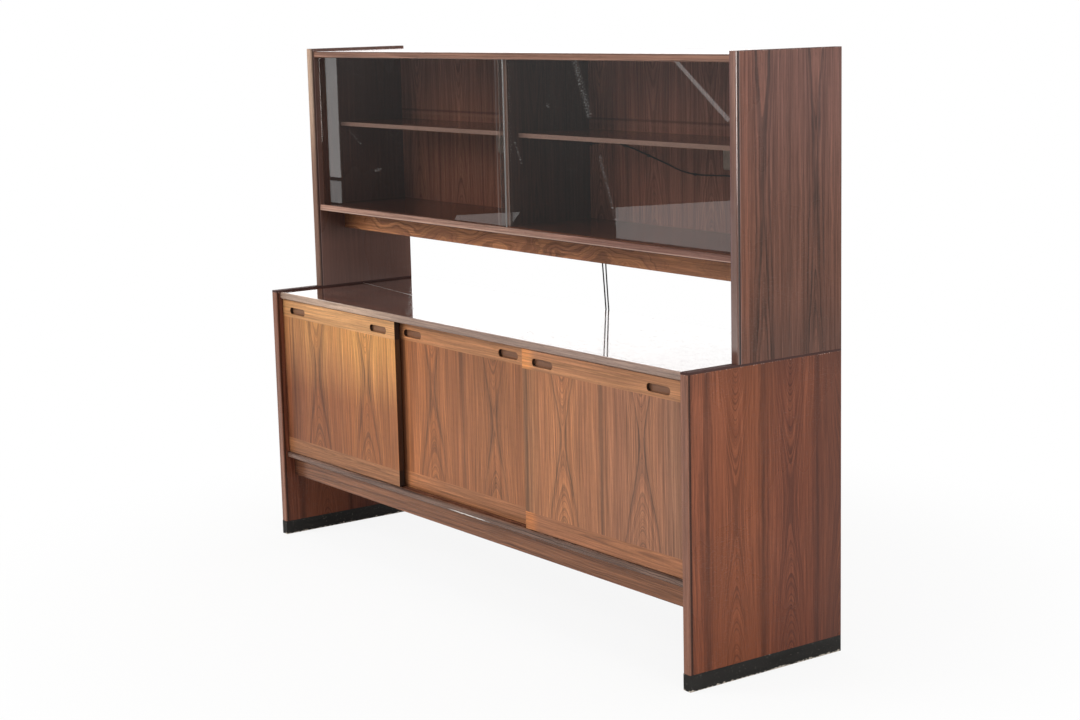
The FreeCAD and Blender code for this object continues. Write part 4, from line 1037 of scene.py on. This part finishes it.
def brassFinish():
    material, tree, shader = newMaterial("dullBrass", Metallic=1.0)
    tarnish = noise(objectSpot(tree), brass["tarnishScale"], 4.0)
    share = spread(tarnish, 0.35, 0.7)
    colour = blend(share, paint(*brass["colour"]), paint(*brass["tarnished"]))
    feed(shader, colour, spread(tarnish, 0.3, 0.7, *brass["rough"]))
    return material


dress(brassFinish(), "base_shelf_pins", "display_shelf_pins", "plug_pins_left", "plug_pins_right")
print("glass, feet, plastics and brass finished")

# Studio: a pale floor, soft lights, and a dim room and a few pale boards that only the gloss sees
studio = {
    "floor": {"corners": ((-12, -5.6), (14, 16)), "colour": (232, 231, 229), "fade": (0.9, 2.0), "glow": 0.9},
    "ambient": 0.45, "roomGlow": 0.05, "horizonGlow": 0.22, "horizonFrom": -0.12,
    "backGlow": 2.3, "backEdge": 0.25, "backFoot": 0.08,
    "lights": {
        "keyLight": {"place": (-2.4, -4.0, 3.2), "aim": (0, 0, 0.7), "size": 2.6, "power": 135},
        "fillLight": {"place": (4.6, -0.6, 2.6), "aim": (0.9, 0, 0.7), "size": 2.2, "power": 48},
        "topLight": {"place": (0, 0.2, 4.6), "aim": (0, 0, 0), "size": 3.0, "power": 50},
    },
    "boards": {  # glow and corners
        "tallBoard": (1.3, [
            (-5.139, -2.5, 0.74), (-5.006, -2.5, 0.74), (-5.006, -2.5, 1.46), (-5.139, -2.5, 1.46)]),
        "tallBoardFoot": (0.9, [
            (-5.125, -2.5, 0.60), (-5.006, -2.5, 0.60), (-5.006, -2.5, 0.72), (-5.125, -2.5, 0.72)]),
        "slantBoard": (1.5, [
            (-2.262, -2.5, 1.430), (-2.240, -2.5, 1.437), (-1.836, -2.5, 1.150), (-1.858, -2.5, 1.138)]),
        "sideBoard": (5.0, [(1.6, -2.2, 1.02), (2.9, -0.5, 1.02), (2.9, -0.5, 1.62), (1.6, -2.2, 1.62)]),
        "nearSheet": (1.0, [(-6.69, -5.7, 0), (-5.2, -5.7, 0), (-8.10, -8.3, 0), (-8.45, -7.08, 0)]),
        "farSheet": (0.82, [(-8.62, -5.63, 0), (-7.90, -5.63, 0), (-8.77, -6.35, 0), (-8.95, -5.88, 0)]),
    },
}


def makeSheet(name, corners):
    shape = bmesh.new()
    shape.faces.new([shape.verts.new(corner) for corner in corners])
    mesh = bpy.data.meshes.new(name)
    shape.to_mesh(mesh)
    shape.free()
    item = bpy.data.objects.new(name, mesh)
    bpy.context.scene.collection.objects.link(item)
    return item


def makeFloor():
    (left, front), (right, back) = studio["floor"]["corners"]
    floor = makeSheet("studioFloor", [(left, front, 0), (right, front, 0), (right, back, 0), (left, back, 0)])
    material, tree, shader = newMaterial(
        "paleFloor", Roughness=0.9, Specular_IOR_Level=0.1, Base_Color=paint(*studio["floor"]["colour"]))
    away = put(tree, "VectorMath", {0: objectSpot(tree)}, operation="LENGTH").outputs["Value"]
    white = ease(away, *studio["floor"]["fade"], studio["floor"]["glow"], 1.0)
    seen = times(put(tree, "LightPath").outputs["Is Camera Ray"], white)
    glow = put(tree, "Emission", {"Color": (1, 1, 1, 1), "Strength": 1.0}).outputs[0]
    joined = put(tree, "MixShader", {0: seen, 1: shader.outputs[0], 2: glow})
    tree.links.new(joined.outputs[0], tree.nodes["Material Output"].inputs["Surface"])
    floor.data.materials.append(material)


def makeBoards():
    for name, (glow, corners) in studio["boards"].items():
        board = makeSheet(name, corners)
        board.visible_camera = board.visible_diffuse = board.visible_shadow = False
        material = newMaterial(
            name, Base_Color=(0, 0, 0, 1), Emission_Color=(1, 1, 1, 1), Emission_Strength=glow)[0]
        board.data.materials.append(material)


def makeLight(name):
    lamp = studio["lights"][name]
    data = bpy.data.lights.new(name, "AREA")
    data.shape = "DISK"
    data.size = lamp["size"]
    data.energy = lamp["power"]
    item = bpy.data.objects.new(name, data)
    bpy.context.scene.collection.objects.link(item)
    item.location = lamp["place"]
    heading = Vector(lamp["aim"]) - Vector(lamp["place"])
    item.rotation_euler = heading.to_track_quat("-Z", "Y").to_euler()
    item.visible_glossy = False
    item.visible_camera = False


def makeWorld():
    world = bpy.data.worlds.new("studioWorld")
    world.use_nodes = True
    tree = world.node_tree
    tree.nodes.clear()

    def glow(strength):
        return put(tree, "Background", {"Color": (1, 1, 1, 1), "Strength": strength}).outputs[0]

    rays = put(tree, "LightPath").outputs
    heading = splitAxes(put(tree, "TexCoord").outputs["Generated"])
    horizon = spread(heading[2], studio["horizonFrom"], 0.0, studio["roomGlow"], studio["horizonGlow"])
    wall = ease(heading[1], 0.0, studio["backEdge"], 0.0, 1.0)
    above = ease(heading[2], 0.0, studio["backFoot"], 0.0, 1.0)
    room = glow(plus(horizon, times(wall, above, studio["backGlow"])))
    mirrored = larger(rays["Is Glossy Ray"], rays["Is Transmission Ray"])
    first = put(tree, "MixShader", {0: mirrored, 1: glow(studio["ambient"]), 2: room}).outputs[0]
    both = put(tree, "MixShader", {0: rays["Is Camera Ray"], 1: first, 2: glow(1.0)}).outputs[0]
    put(tree, "OutputWorld", {"Surface": both})
    bpy.context.scene.world = world


makeFloor()
makeBoards()
for lightName in studio["lights"]:
    makeLight(lightName)
makeWorld()
print("studio ready")
